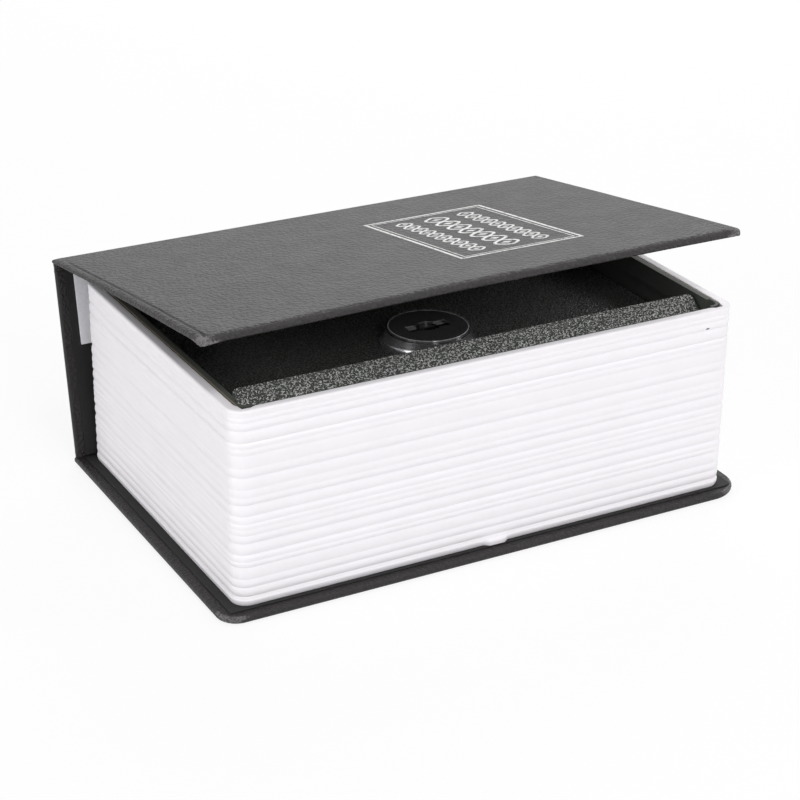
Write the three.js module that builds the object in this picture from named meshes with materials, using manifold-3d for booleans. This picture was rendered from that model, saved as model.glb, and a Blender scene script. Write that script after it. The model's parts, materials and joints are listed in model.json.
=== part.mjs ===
// A small book diversion safe: a cloth-covered book case whose pages are a ribbed plastic moulding
// round a steel tray with a hinged, locking lid. Millimetres, +Z up. X runs along the spine, the fore
// edge faces -Y and the origin is the middle of the back cover's underside. The book lies on its back
// cover with the spine and the front cover leaning back together, and the lid shut but not locked.
import * as THREE from 'three';
import { mergeVertices } from 'three/addons/utils/BufferGeometryUtils.js';
import Module from 'manifold-3d';

const wasm = await Module();
wasm.setup();

// Case of the book
const coverLength = 180;
const coverWidth = 118;
const spineHeight = 62.4;
const leanAngle = THREE.MathUtils.degToRad(9);
const clothThickness = 0.4;
const boardThickness = 1.7;
const liningThickness = 0.35;
const glueLine = 0.05;
const turnIn = 14;
const liningMargin = 3;
const clothEdgeRadius = 0.35;
const backCornerRadius = 6;
const frontCornerRadius = 2;
const hingeGap = 0.4;
const spineStripHeight = 24.5;
const spineStripThickness = 0.5;

// Page moulding
const tailOverhang = 5.5;
const foreOverhang = 4;
const pageClearance = 0.45;
const rimClearance = 1.4;
const sideWall = 3;
const frontWall = 2.7;
const rearWall = 2.4;
const pageCornerRadius = 5;
const rearCornerRadius = 2.6;
const rimRadius = 0.9;
const innerRimRadius = 0.6;
const innerCornerRadius = 3.4;
const ledgeWidth = 8;
const ledgeThickness = 2;
const grooveDepth = 0.75;
const crestWander = 0.3;
const crestPhase = 2.4;
const ribShoulder = 0.2;
const ribShoulderDrop = 0.11;
const leastRib = 1;
const gateOffset = 1;
const gateWidth = 6;
const gateHeight = 1.5;
const gateDepth = 0.8;
const reliefWidth = 3.2;
const reliefInset = 0.5;
const reliefDepth = 0.9;
const reliefDrop = 4;
// Leaves in each page rib from the top edge down; the pattern starts again where it runs out
const leafThickness = 0.1;
const ribLeaves = [22, 16, 25, 37, 18, 19, 40, 29, 37, 25, 23, 35, 24, 17, 19, 26, 36, 22, 17, 38, 27, 29, 29];

// Steel tray
const trayClearance = 0.3;
const traySheet = 1;
const hemHeight = 6;
const hemSetback = 4.5;
const frontEdgeDrop = 0.6;

// Lid
const lidSheet = 1.2;
const lidRecess = 11;
const lidSideGap = 3.1;
const lidFrontGap = 0.4;
const lidRearGap = 0.9;
const pullAngle = THREE.MathUtils.degToRad(41);
const pullBendRadius = 0.8;
const pullCornerRadius = 2;
const pullCutDepth = 3.6;
const restGap = 0.3;
const restSheet = 1;
const restReach = 6.5;
const restDrop = 8;
const restSetback = 13.5;

// Lid hinges
const hingeInset = 30.1;
const leafLength = 34;
const leafSheet = 0.8;
const leafGap = 0.1;
const wallLeafDrop = 0.8;
const lidLeafDepth = 9.5;
const knuckleRadius = 1.8;
const pinRadius = 1;
const pinClearance = 0.08;
const middleKnuckle = 13;
const knuckleGap = 0.5;
const leafClearance = 0.3;
const knuckleLap = 0.5;

// Rivets
const rivetShank = 1.5;
const rivetClearance = 0.1;
const rivetHead = 2.6;
const rivetHeadHeight = 1.1;
const trayRivetInset = 4;
const trayRivetSetback = 11;
const wallRivetSpan = 26;
const lidRivetSpan = 14;
const strikeRivetSpan = 20;
const strikeRivetMargin = 1;

// Lock
const lockSetback = 37.6;
const lockHoleClearance = 0.2;
const barrelRadius = 9.3;
const coreRadius = 4.8;
const coreClearance = 0.1;
const skirtRadius = 15.3;
const skirtTopRadius = 13.2;
const skirtEdge = 0.8;
const skirtHeight = 4;
const flareStart = 0.3;
const flareSag = 0.6;
const capRadius = 12.9;
const capThickness = 1.2;
const capDish = 0.3;
const capEdge = 0.3;
const capLand = 0.6;
const capBevel = 0.4;
const bowLength = 14;
const bowWaist = 3.4;
const bowEndWidth = 4.6;
const bowCentreRadius = 3.6;
const keywayLength = 8.4;
const keywayWidth = 1.8;
const keywayDepth = 6.4;
const nutAcrossFlats = 23;
const nutHeight = 2.5;
const camRadius = 6.8;
const camThickness = 1.2;
const camPinRadius = 1;
const camPinRoot = 0.5;
const boltTravel = 4.2;
const boltThickness = 2.2;
const boltWidth = 16;
const boltTail = 8;
const boltChamfer = 2;
const runningGap = 0.3;
const caseSheet = 0.9;
const caseLength = 36;
const caseWidth = 32;
const caseFlange = 5;
const strikeReach = 4.4;
const strikeSheet = 1;
const strikeLeg = 12;
const strikeWidth = 32;
const strikeLap = 2.8;

// How far a cutting tool runs past the face it cuts, and facets round each kind of curve
const overcut = 1;
const rimCut = 0.01;
const squareCorner = 0.05;
const holeSides = 12;
const pinSides = 16;
const coreSides = 24;
const lockSides = 32;
const hexagonSides = 6;

// Sizes worked out from those above
const wrapThickness = 2 * clothThickness + 2 * glueLine + boardThickness;
const coverThickness = wrapThickness + glueLine + liningThickness;
const pageBase = coverThickness + glueLine;
const rimHeight = coverThickness + spineHeight - rimClearance;
const pageHalfLength = coverLength / 2 - tailOverhang;
const pageFront = -coverWidth / 2 + foreOverhang;
const pageRear = coverWidth / 2 - coverThickness - glueLine - spineStripThickness - pageClearance;
const pocketHalfLength = pageHalfLength - sideWall;
const pocketFront = pageFront + frontWall;
const pocketRear = pageRear - rearWall;
const trayHalfLength = pocketHalfLength - trayClearance;
const trayFront = pocketFront + trayClearance;
const trayRear = pocketRear - trayClearance;
const trayBottom = pageBase + ledgeThickness + trayClearance;
const trayFloor = trayBottom + traySheet;
const trayInnerHalf = trayHalfLength - traySheet;
const trayInnerFront = trayFront + traySheet;
const trayInnerRear = trayRear - traySheet;
const lidTop = rimHeight - lidRecess;
const lidBottom = lidTop - lidSheet;
const lidHalfLength = trayHalfLength - lidSideGap;
const lidFront = trayInnerFront + lidFrontGap;
const lidRear = trayInnerRear - lidRearGap;
const hingeX = lidHalfLength - hingeInset;
const hingeY = trayInnerRear - leafGap - knuckleRadius;
const hingeZ = lidTop + leafGap + knuckleRadius;
const lockY = lidFront + lockSetback;
const skirtTop = lidTop + glueLine + skirtHeight;
const capBottom = skirtTop + glueLine;
const nutTop = lidBottom - leafGap;
const barrelBottom = nutTop - nutHeight - runningGap;
const camTop = barrelBottom - 2 * runningGap;
const camBottom = camTop - camThickness;
const boltTop = camBottom - runningGap;
const boltBottom = boltTop - boltThickness;
const caseFloor = boltBottom - runningGap;
const camThrow = boltTravel / Math.SQRT2;
const strikeWall = trayInnerFront + glueLine;
const strikeEdge = strikeWall + strikeReach;
const boltTip = strikeEdge - strikeLap + boltTravel;
const strikeTop = boltTop + 2 * runningGap + strikeSheet;

// Materials, by colour and finish
function finish(color, roughness, metalness) {
  return new THREE.MeshStandardMaterial({ color, roughness, metalness });
}
const clothFinish = finish(0x5d5c5f, 0.6, 0);
const boardFinish = finish(0x8d8376, 0.9, 0);
const liningFinish = finish(0x1b1a1a, 0.85, 0);
const cardFinish = finish(0xe9e9ec, 0.7, 0);
const pageFinish = finish(0xf0eff2, 0.45, 0);
const steelFinish = finish(0x2c2f2e, 0.5, 0.3);
const zincFinish = finish(0xb9bcc0, 0.3, 1);
const capFinish = finish(0x0e0e10, 0.15, 0.2);
const skirtFinish = finish(0x6b6b6e, 0.3, 1);
const brassFinish = finish(0xb39a5e, 0.35, 1);

// Solid modelling helpers
function toSolid(geometry) {
  const bare = geometry.clone();
  bare.deleteAttribute('normal');
  bare.deleteAttribute('uv');
  const merged = mergeVertices(bare, 1e-5);
  const vertProperties = new Float32Array(merged.attributes.position.array);
  const triVerts = new Uint32Array(merged.index.array);
  return new wasm.Manifold(new wasm.Mesh({ numProp: 3, vertProperties, triVerts }));
}

function toGeometry(solid) {
  const mesh = solid.getMesh();
  const geometry = new THREE.BufferGeometry();
  geometry.setAttribute('position', new THREE.BufferAttribute(new Float32Array(mesh.vertProperties), 3));
  geometry.setIndex(new THREE.BufferAttribute(new Uint32Array(mesh.triVerts), 1));
  geometry.computeVertexNormals();
  return geometry;
}

function combine(base, added, removed) {
  let solid = toSolid(base);
  for (const piece of added) {
    solid = solid.add(toSolid(piece));
  }
  for (const piece of removed) {
    solid = solid.subtract(toSolid(piece));
  }
  return toGeometry(solid);
}

function block(x0, x1, y0, y1, z0, z1) {
  const geometry = new THREE.BoxGeometry(x1 - x0, y1 - y0, z1 - z0);
  return geometry.translate((x0 + x1) / 2, (y0 + y1) / 2, (z0 + z1) / 2);
}

function disc(radius, x, y, z0, z1, sides = lockSides) {
  const geometry = new THREE.CylinderGeometry(radius, radius, z1 - z0, sides);
  return geometry.rotateX(Math.PI / 2).translate(x, y, (z0 + z1) / 2);
}

function crossDisc(radius, x, z, y0, y1, sides) {
  const geometry = new THREE.CylinderGeometry(radius, radius, y1 - y0, sides);
  return geometry.translate(x, (y0 + y1) / 2, z);
}

function extrudeUp(shape, z0, z1) {
  const geometry = new THREE.ExtrudeGeometry(shape, { depth: z1 - z0, bevelEnabled: false, curveSegments: 5 });
  return geometry.translate(0, 0, z0);
}

// A shape drawn in Y and Z, carried along X
function extrudeAlongX(shape, x0, x1, curveSegments = 8) {
  const geometry = new THREE.ExtrudeGeometry(shape, { depth: x1 - x0, bevelEnabled: false, curveSegments });
  const turn = new THREE.Matrix4().makeBasis(
    new THREE.Vector3(0, 1, 0), new THREE.Vector3(0, 0, 1), new THREE.Vector3(1, 0, 0));
  return geometry.applyMatrix4(turn).translate(x0, 0, 0);
}

// A shape drawn in X and Z, carried along Y
function extrudeAlongY(shape, y0, y1) {
  const geometry = new THREE.ExtrudeGeometry(shape, { depth: y1 - y0, bevelEnabled: false });
  const turn = new THREE.Matrix4().makeBasis(
    new THREE.Vector3(1, 0, 0), new THREE.Vector3(0, 0, 1), new THREE.Vector3(0, -1, 0));
  return geometry.applyMatrix4(turn).translate(0, y1, 0);
}

// A closed profile of radius and height, turned round an upright axis
function turned(profile, x, y, sides = lockSides) {
  const points = profile.map(([radius, z]) => new THREE.Vector2(radius, z));
  return new THREE.LatheGeometry(points, sides).rotateX(Math.PI / 2).translate(x, y, 0);
}

function polygon(points) {
  return new THREE.Shape(points.map(([a, b]) => new THREE.Vector2(a, b)));
}

function roundedRectangle(halfX, y0, y1, frontRadius, rearRadius) {
  const shape = new THREE.Shape();
  shape.moveTo(-halfX + frontRadius, y0);
  shape.lineTo(halfX - frontRadius, y0);
  shape.absarc(halfX - frontRadius, y0 + frontRadius, frontRadius, -Math.PI / 2, 0);
  shape.lineTo(halfX, y1 - rearRadius);
  shape.absarc(halfX - rearRadius, y1 - rearRadius, rearRadius, 0, Math.PI / 2);
  shape.lineTo(-halfX + rearRadius, y1);
  shape.absarc(-halfX + rearRadius, y1 - rearRadius, rearRadius, Math.PI / 2, Math.PI);
  shape.lineTo(-halfX, y0 + frontRadius);
  shape.absarc(-halfX + frontRadius, y0 + frontRadius, frontRadius, Math.PI, 1.5 * Math.PI);
  return shape;
}

// A closed skin through rings of equally many points, each ring level at its own height
function loft(rings) {
  const count = rings[0].points.length;
  const positions = [];
  const index = [];
  for (const ring of rings) {
    for (const point of ring.points) {
      positions.push(point.x, point.y, ring.z);
    }
  }
  for (let level = 0; level < rings.length - 1; level += 1) {
    for (let k = 0; k < count; k += 1) {
      const a = level * count + k;
      const b = level * count + (k + 1) % count;
      index.push(a, b, b + count, a, b + count, a + count);
    }
  }
  const last = (rings.length - 1) * count;
  const bottomHub = positions.length / 3;
  positions.push(0, 0, rings[0].z);
  positions.push(0, 0, rings[rings.length - 1].z);
  for (let k = 0; k < count; k += 1) {
    const next = (k + 1) % count;
    index.push(bottomHub, next, k, bottomHub + 1, last + k, last + next);
  }
  const geometry = new THREE.BufferGeometry();
  geometry.setAttribute('position', new THREE.Float32BufferAttribute(positions, 3));
  geometry.setIndex(index);
  return geometry;
}

function piece(group, name, geometry, material) {
  const mesh = new THREE.Mesh(geometry, material);
  mesh.name = name;
  group.add(mesh);
  return mesh;
}

// A panel of the case lies in its own frame: hinge edge along X at Y = 0, free edge at Y = -width,
// cloth face at Z = 0 and lined face at Z = coverThickness.
function panelShape(halfLength, y0, y1, radius, inset) {
  const corner = Math.max(radius - inset, squareCorner);
  return roundedRectangle(halfLength - inset, y0, y1, corner, squareCorner);
}

function clothGeometry(width, radius, turnedEdge) {
  const half = coverLength / 2;
  const shape = panelShape(half, -width + clothEdgeRadius, -clothEdgeRadius, radius, clothEdgeRadius);
  const outer = new THREE.ExtrudeGeometry(shape, {
    depth: wrapThickness - 2 * clothEdgeRadius,
    bevelThickness: clothEdgeRadius,
    bevelSize: clothEdgeRadius,
    bevelSegments: 2,
    curveSegments: 5,
  }).translate(0, 0, clothEdgeRadius);
  const hingeSide = turnedEdge ? -clothThickness : overcut;
  const freeSide = turnedEdge ? -width + clothThickness : -width - overcut;
  const pocket = extrudeUp(panelShape(half, freeSide, hingeSide, radius, clothThickness),
    clothThickness, wrapThickness - clothThickness);
  const windowFree = turnedEdge ? -width + turnIn : -width - overcut;
  const windowHalf = half - turnIn;
  const window = block(-windowHalf, windowHalf, windowFree, hingeSide,
    wrapThickness - 1.5 * clothThickness, wrapThickness + overcut);
  return combine(outer, [], [pocket, window]);
}

function boardGeometry(width, radius, turnedEdge) {
  const inset = clothThickness + glueLine;
  const edge = turnedEdge ? inset : 0;
  return extrudeUp(panelShape(coverLength / 2, -width + edge, -edge, radius, inset),
    inset, inset + boardThickness);
}

function liningGeometry(width, turnedEdge) {
  const padMargin = turnIn + runningGap;
  const sheetHalf = coverLength / 2 - liningMargin;
  const padHalf = coverLength / 2 - padMargin;
  const edge = turnedEdge ? liningMargin : glueLine;
  const padEdge = turnedEdge ? padMargin : glueLine;
  const hingeEdge = turnedEdge ? clothThickness + glueLine : glueLine;
  const sheet = block(-sheetHalf, sheetHalf, -width + edge, -hingeEdge, wrapThickness + glueLine,
    coverThickness);
  const pad = block(-padHalf, padHalf, -width + padEdge, -hingeEdge - runningGap,
    wrapThickness - clothThickness, wrapThickness + 1.5 * glueLine);
  return combine(sheet, [pad], []);
}

function addPanel(group, name, width, radius, turnedEdge) {
  const panel = new THREE.Group();
  piece(panel, `${name}_cloth`, clothGeometry(width, radius, turnedEdge), clothFinish);
  piece(panel, `${name}_board`, boardGeometry(width, radius, turnedEdge), boardFinish);
  piece(panel, `${name}_lining`, liningGeometry(width, turnedEdge), liningFinish);
  group.add(panel);
  return panel;
}

// Page moulding: a ring of ribbed walls with a ledge at its foot
function pageOutline(outset) {
  const arcSteps = 5;
  const corners = [
    { x: -1, y: -1, radius: pageCornerRadius, start: 180 },
    { x: 1, y: -1, radius: pageCornerRadius, start: 270 },
    { x: 1, y: 1, radius: rearCornerRadius, start: 0 },
    { x: -1, y: 1, radius: rearCornerRadius, start: 90 },
  ];
  const points = [];
  for (const corner of corners) {
    const centreX = corner.x * (pageHalfLength - corner.radius);
    const centreY = corner.y < 0 ? pageFront + corner.radius : pageRear - corner.radius;
    for (let step = 0; step <= arcSteps; step += 1) {
      const turn = step / arcSteps;
      const towardRear = corner.x > 0 ? turn : 1 - turn;
      const share = corner.y < 0 ? 1 : 1 - towardRear;
      const angle = THREE.MathUtils.degToRad(corner.start + 90 * turn);
      const radius = corner.radius + outset * share;
      points.push(new THREE.Vector2(centreX + radius * Math.cos(angle), centreY + radius * Math.sin(angle)));
    }
  }
  return points;
}

function pageRings() {
  const rings = [];
  const levels = [];
  let top = rimHeight;
  for (let k = 0; top > pageBase + leastRib; k += 1) {
    const height = Math.min(ribLeaves[k % ribLeaves.length] * leafThickness, top - pageBase);
    levels.push({ top, height, crest: -crestWander * (0.5 + 0.5 * Math.sin(crestPhase * k)) });
    top -= height;
  }
  rings.push({ z: pageBase, points: pageOutline(-grooveDepth) });
  for (const rib of levels.reverse()) {
    const foot = Math.max(rib.top - rib.height, pageBase);
    const highest = rib.top === rimHeight;
    if (foot > pageBase) {
      rings.push({ z: foot, points: pageOutline(-grooveDepth) });
    }
    const shoulder = pageOutline(rib.crest - ribShoulderDrop);
    rings.push({ z: foot + ribShoulder * rib.height, points: shoulder });
    rings.push({ z: foot + rib.height / 2, points: pageOutline(rib.crest) });
    if (!highest) {
      rings.push({ z: foot + (1 - ribShoulder) * rib.height, points: shoulder });
    }
  }
  const roundSteps = 3;
  for (let step = 0; step <= roundSteps; step += 1) {
    const angle = step / roundSteps * Math.PI / 2;
    const inset = rimRadius * (1 - Math.cos(angle));
    rings.push({ z: rimHeight - rimRadius + rimRadius * Math.sin(angle), points: pageOutline(-inset) });
  }
  return rings;
}

function pageMouldingGeometry() {
  const pocketShape = (outset) => roundedRectangle(pocketHalfLength + outset, pocketFront - outset,
    pocketRear + outset, innerCornerRadius + outset, innerCornerRadius + outset);
  const pocket = extrudeUp(pocketShape(0), pageBase + ledgeThickness, rimHeight + overcut);
  const rimSteps = 2;
  const flareRings = [];
  for (let step = 0; step <= rimSteps; step += 1) {
    const angle = step / rimSteps * Math.PI / 2;
    const outset = innerRimRadius * (1 - Math.cos(angle));
    const points = pocketShape(outset).getPoints(5).slice(0, -1);
    flareRings.push({ z: rimHeight + rimCut - innerRimRadius * (1 - Math.sin(angle)), points });
  }
  const ledgeHalf = pocketHalfLength - ledgeWidth;
  const foot = block(-ledgeHalf, ledgeHalf, pocketFront + ledgeWidth, pocketRear - ledgeWidth,
    pageBase - overcut, pageBase + ledgeThickness + overcut);
  const reliefs = [-1, 1].map((side) => {
    const outer = side * (pocketHalfLength - reliefInset);
    const inner = outer - side * reliefWidth;
    return block(Math.min(outer, inner), Math.max(outer, inner), pocketFront - reliefDepth,
      pocketFront + overcut, rimHeight - reliefDrop, rimHeight + overcut);
  });
  const holes = trayRivetPlaces().map(({ x, y }) => disc(rivetShank + rivetClearance, x, y,
    pageBase - overcut, pageBase + ledgeThickness + overcut, holeSides));
  const gate = block(gateOffset - gateWidth / 2, gateOffset + gateWidth / 2, pageFront - gateDepth,
    pageFront + frontWall / 2, pageBase, pageBase + gateHeight);
  return combine(loft(pageRings()), [gate], [pocket, loft(flareRings), foot, ...reliefs, ...holes]);
}

// Tray: a folded steel box with hemmed side walls
function trayRivetPlaces() {
  const x = trayInnerHalf - trayRivetInset;
  const front = trayInnerFront + trayRivetSetback;
  const rear = trayInnerRear - trayRivetSetback;
  return [{ x: -x, y: front }, { x, y: front }, { x: -x, y: rear }, { x, y: rear }];
}

function trayGeometry() {
  const outerRadius = innerCornerRadius - trayClearance;
  const innerRadius = outerRadius - traySheet;
  const shell = extrudeUp(roundedRectangle(trayHalfLength, trayFront, trayRear, outerRadius, outerRadius),
    trayBottom, rimHeight);
  const inside = roundedRectangle(trayInnerHalf, trayInnerFront, trayInnerRear, innerRadius, innerRadius);
  const hollow = extrudeUp(inside, trayFloor, rimHeight + overcut);
  const hems = [-1, 1].map((side) => {
    const wall = side * (trayInnerHalf + traySheet / 2);
    const inner = side * (trayInnerHalf - traySheet);
    return block(Math.min(wall, inner), Math.max(wall, inner), trayInnerFront + hemSetback,
      trayInnerRear - hemSetback, rimHeight - hemHeight, rimHeight);
  });
  const frontCut = block(-trayInnerHalf + outerRadius, trayInnerHalf - outerRadius, trayFront - overcut,
    trayInnerFront + overcut, rimHeight - frontEdgeDrop, rimHeight + overcut);
  const floorHoles = trayRivetPlaces().map(({ x, y }) => disc(rivetShank + rivetClearance, x, y,
    trayBottom - overcut, trayFloor + overcut, holeSides));
  const strikeHoles = strikeRivetPlaces().map(({ x, z }) => crossDisc(rivetShank + rivetClearance, x, z,
    trayFront - overcut, trayInnerFront + overcut, holeSides));
  const wallHoles = wallRivetPlaces().map(({ x, z }) => crossDisc(rivetShank + rivetClearance, x, z,
    trayInnerRear - overcut, trayRear + overcut, holeSides));
  const body = combine(shell, [], [hollow]);
  return combine(body, hems, [frontCut, ...floorHoles, ...strikeHoles, ...wallHoles]);
}

function rivetProfile(shankLength) {
  return [
    [0, -shankLength],
    [rivetShank, -shankLength],
    [rivetShank, 0],
    [rivetHead, 0],
    [rivetHead, 0.35 * rivetHeadHeight],
    [0.6 * rivetHead, 0.85 * rivetHeadHeight],
    [0, rivetHeadHeight],
  ];
}

function rivetGeometry(shankLength) {
  return turned(rivetProfile(shankLength), 0, 0, holeSides);
}

function addTrayRivets(group) {
  const reach = traySheet + trayClearance + 0.8 * ledgeThickness;
  trayRivetPlaces().forEach(({ x, y }, k) => {
    const rivet = piece(group, `tray_rivet_${k + 1}`, rivetGeometry(reach), zincFinish);
    rivet.position.set(x, y, trayFloor + glueLine);
  });
}

// Ledges welded to the side walls, on which the shut lid rests
function addLidRests(group) {
  const top = lidBottom - restGap;
  const outer = trayInnerHalf - glueLine;
  for (const [name, side] of [['lid_rest_tail', -1], ['lid_rest_head', 1]]) {
    const profile = [
      [side * outer, top - restDrop],
      [side * outer, top],
      [side * (outer - restReach), top],
      [side * (outer - restReach), top - restSheet],
      [side * (outer - restSheet), top - restSheet],
      [side * (outer - restSheet), top - restDrop],
    ];
    const shape = polygon(side < 0 ? profile.reverse() : profile);
    const ledge = extrudeAlongY(shape, trayInnerFront + restSetback, trayInnerRear - restSetback);
    piece(group, name, ledge, steelFinish);
  }
}

// Strike: the bent plate on the front wall that the locked bolt lies under
function strikeRivetPlaces() {
  const x = strikeRivetSpan / 2;
  const z = strikeTop - strikeLeg + rivetHead + strikeRivetMargin;
  return [{ x: -x, z }, { x, z }];
}

function addStrike(group) {
  const shape = polygon([
    [strikeWall, strikeTop - strikeLeg],
    [strikeWall + strikeSheet, strikeTop - strikeLeg],
    [strikeWall + strikeSheet, strikeTop - strikeSheet],
    [strikeEdge, strikeTop - strikeSheet],
    [strikeEdge, strikeTop],
    [strikeWall, strikeTop],
  ]);
  const plate = extrudeAlongX(shape, -strikeWidth / 2, strikeWidth / 2);
  const holes = strikeRivetPlaces().map(({ x, z }) => crossDisc(rivetShank + rivetClearance, x, z,
    strikeWall - overcut, strikeWall + strikeSheet + overcut, holeSides));
  piece(group, 'strike_plate', combine(plate, [], holes), steelFinish);
  strikeRivetPlaces().forEach(({ x, z }, k) => {
    const reach = strikeSheet + traySheet + glueLine;
    const rivet = piece(group, `strike_rivet_${k + 1}`, rivetGeometry(reach), zincFinish);
    rivet.position.set(x, strikeWall + strikeSheet + glueLine, z);
    rivet.rotation.x = -Math.PI / 2;
  });
}

// Lid hinges: a wall leaf with two knuckles, a lid leaf with one and a pin through them
const wallLeafBottom = hingeZ + knuckleRadius + leafClearance;
const wallLeafTop = rimHeight - wallLeafDrop;

function leafRivetCentres(span) {
  const centres = [];
  for (const hinge of [-1, 1]) {
    centres.push(hinge * hingeX - span / 2, hinge * hingeX + span / 2);
  }
  return centres;
}

function wallRivetPlaces() {
  const z = (wallLeafBottom + wallLeafTop) / 2;
  return leafRivetCentres(wallRivetSpan).map((x) => ({ x, z }));
}

function lidRivetPlaces() {
  const y = hingeY - knuckleRadius - lidLeafDepth / 2;
  return leafRivetCentres(lidRivetSpan).map((x) => ({ x, y }));
}

function hingeRod(radius, x0, x1) {
  return new THREE.CylinderGeometry(radius, radius, x1 - x0, pinSides)
    .rotateZ(Math.PI / 2).translate((x0 + x1) / 2, hingeY, hingeZ);
}

function wallLeafGeometry(x) {
  const half = leafLength / 2;
  const inner = middleKnuckle / 2 + knuckleGap;
  const back = hingeY + knuckleRadius;
  const plate = block(x - half, x + half, back - leafSheet, back, wallLeafBottom, wallLeafTop);
  const webs = [-1, 1].map((side) => {
    const x0 = Math.min(side * half, side * inner);
    const x1 = Math.max(side * half, side * inner);
    return block(x + x0, x + x1, back - leafSheet, back, hingeZ, wallLeafBottom + knuckleLap);
  });
  const knuckles = [
    hingeRod(knuckleRadius, x - half, x - inner),
    hingeRod(knuckleRadius, x + inner, x + half),
  ];
  const bore = hingeRod(pinRadius + pinClearance, x - half - overcut, x + half + overcut);
  const holes = wallRivetPlaces().map((place) => crossDisc(rivetShank + rivetClearance, place.x, place.z,
    back - leafSheet - overcut, back + overcut, holeSides));
  return combine(plate, [...webs, ...knuckles], [bore, ...holes]);
}

function lidLeafGeometry(x) {
  const half = leafLength / 2;
  const middle = middleKnuckle / 2;
  const bottom = hingeZ - knuckleRadius;
  const front = hingeY - knuckleRadius - lidLeafDepth;
  const rear = hingeY - knuckleRadius - leafClearance;
  const plate = block(x - half, x + half, front, rear, bottom, bottom + leafSheet);
  const web = block(x - middle, x + middle, rear - knuckleLap, hingeY, bottom, bottom + leafSheet);
  const knuckle = hingeRod(knuckleRadius, x - middle, x + middle);
  const bore = hingeRod(pinRadius + pinClearance, x - half, x + half);
  const holes = lidRivetPlaces().map((place) => disc(rivetShank + rivetClearance, place.x, place.y,
    bottom - overcut, bottom + leafSheet + overcut, holeSides));
  return combine(plate, [web, knuckle], [bore, ...holes]);
}

function addWallHinges(group) {
  for (const [end, side] of [['tail', -1], ['head', 1]]) {
    const x = side * hingeX;
    piece(group, `wall_leaf_${end}`, wallLeafGeometry(x), steelFinish);
    const pin = hingeRod(pinRadius, x - leafLength / 2, x + leafLength / 2);
    piece(group, `hinge_pin_${end}`, pin, zincFinish);
  }
  wallRivetPlaces().forEach(({ x, z }, k) => {
    const reach = leafSheet + leafGap + traySheet;
    const rivet = piece(group, `wall_leaf_rivet_${k + 1}`, rivetGeometry(reach), zincFinish);
    rivet.position.set(x, hingeY + knuckleRadius - leafSheet - glueLine, z);
    rivet.rotation.x = Math.PI / 2;
  });
}

function addLidHinges(group) {
  for (const [end, side] of [['tail', -1], ['head', 1]]) {
    piece(group, `lid_leaf_${end}`, lidLeafGeometry(side * hingeX), steelFinish);
  }
  lidRivetPlaces().forEach(({ x, y }, k) => {
    const reach = leafSheet + leafGap + lidSheet;
    const rivet = piece(group, `lid_leaf_rivet_${k + 1}`, rivetGeometry(reach), zincFinish);
    rivet.position.set(x, y, hingeZ - knuckleRadius + leafSheet + glueLine);
  });
}

// Lid: one sheet whose front edge folds up and back into a sloping finger pull
function lidProfile() {
  const outerRadius = pullBendRadius + lidSheet;
  const centreY = lidFront + outerRadius;
  const centreZ = lidBottom + outerRadius;
  const endAngle = Math.PI - pullAngle;
  const bendPoint = (radius) => [centreY - radius * Math.sin(endAngle), centreZ - radius * Math.cos(endAngle)];
  const [outerY, outerZ] = bendPoint(outerRadius);
  const [innerY, innerZ] = bendPoint(pullBendRadius);
  const run = (rimHeight - outerZ) / Math.sin(pullAngle);
  const shape = new THREE.Shape();
  shape.moveTo(lidRear, lidBottom);
  shape.lineTo(lidRear, lidTop);
  shape.lineTo(centreY, lidTop);
  shape.absarc(centreY, centreZ, pullBendRadius, -Math.PI / 2, -Math.PI / 2 - endAngle, true);
  shape.lineTo(innerY + run * Math.cos(pullAngle), innerZ + run * Math.sin(pullAngle));
  shape.lineTo(outerY + run * Math.cos(pullAngle), outerZ + run * Math.sin(pullAngle));
  shape.lineTo(outerY, outerZ);
  shape.absarc(centreY, centreZ, outerRadius, -Math.PI / 2 - endAngle, -Math.PI / 2, false);
  return { shape, topY: outerY + run * Math.cos(pullAngle) };
}

// What comes off a square corner of the pull to round it, in the pull's own slope
function pullCorner(side, topY) {
  const reach = pullCornerRadius;
  const shape = new THREE.Shape();
  shape.moveTo(side * lidHalfLength - side * reach, 0);
  shape.lineTo(side * lidHalfLength - side * reach, overcut);
  shape.lineTo(side * (lidHalfLength + overcut), overcut);
  shape.lineTo(side * (lidHalfLength + overcut), -reach);
  shape.lineTo(side * lidHalfLength, -reach);
  const from = side > 0 ? 0 : Math.PI;
  shape.absarc(side * (lidHalfLength - reach), -reach, reach, from, Math.PI / 2, side < 0);
  const tool = new THREE.ExtrudeGeometry(shape, {
    depth: pullCutDepth + lidSheet,
    bevelEnabled: false,
    curveSegments: 4,
  });
  return tool.translate(0, 0, -pullCutDepth).rotateX(pullAngle).translate(0, topY, rimHeight);
}

function lidPlateGeometry() {
  const { shape, topY } = lidProfile();
  const plate = extrudeAlongX(shape, -lidHalfLength, lidHalfLength, 6);
  const lockHole = disc(barrelRadius + lockHoleClearance, 0, lockY, lidBottom - overcut, lidTop + overcut);
  const rivetHoles = lidRivetPlaces().map(({ x, y }) => disc(rivetShank + rivetClearance, x, y,
    lidBottom - overcut, lidTop + overcut, holeSides));
  return combine(plate, [], [pullCorner(-1, topY), pullCorner(1, topY), lockHole, ...rivetHoles]);
}

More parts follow.
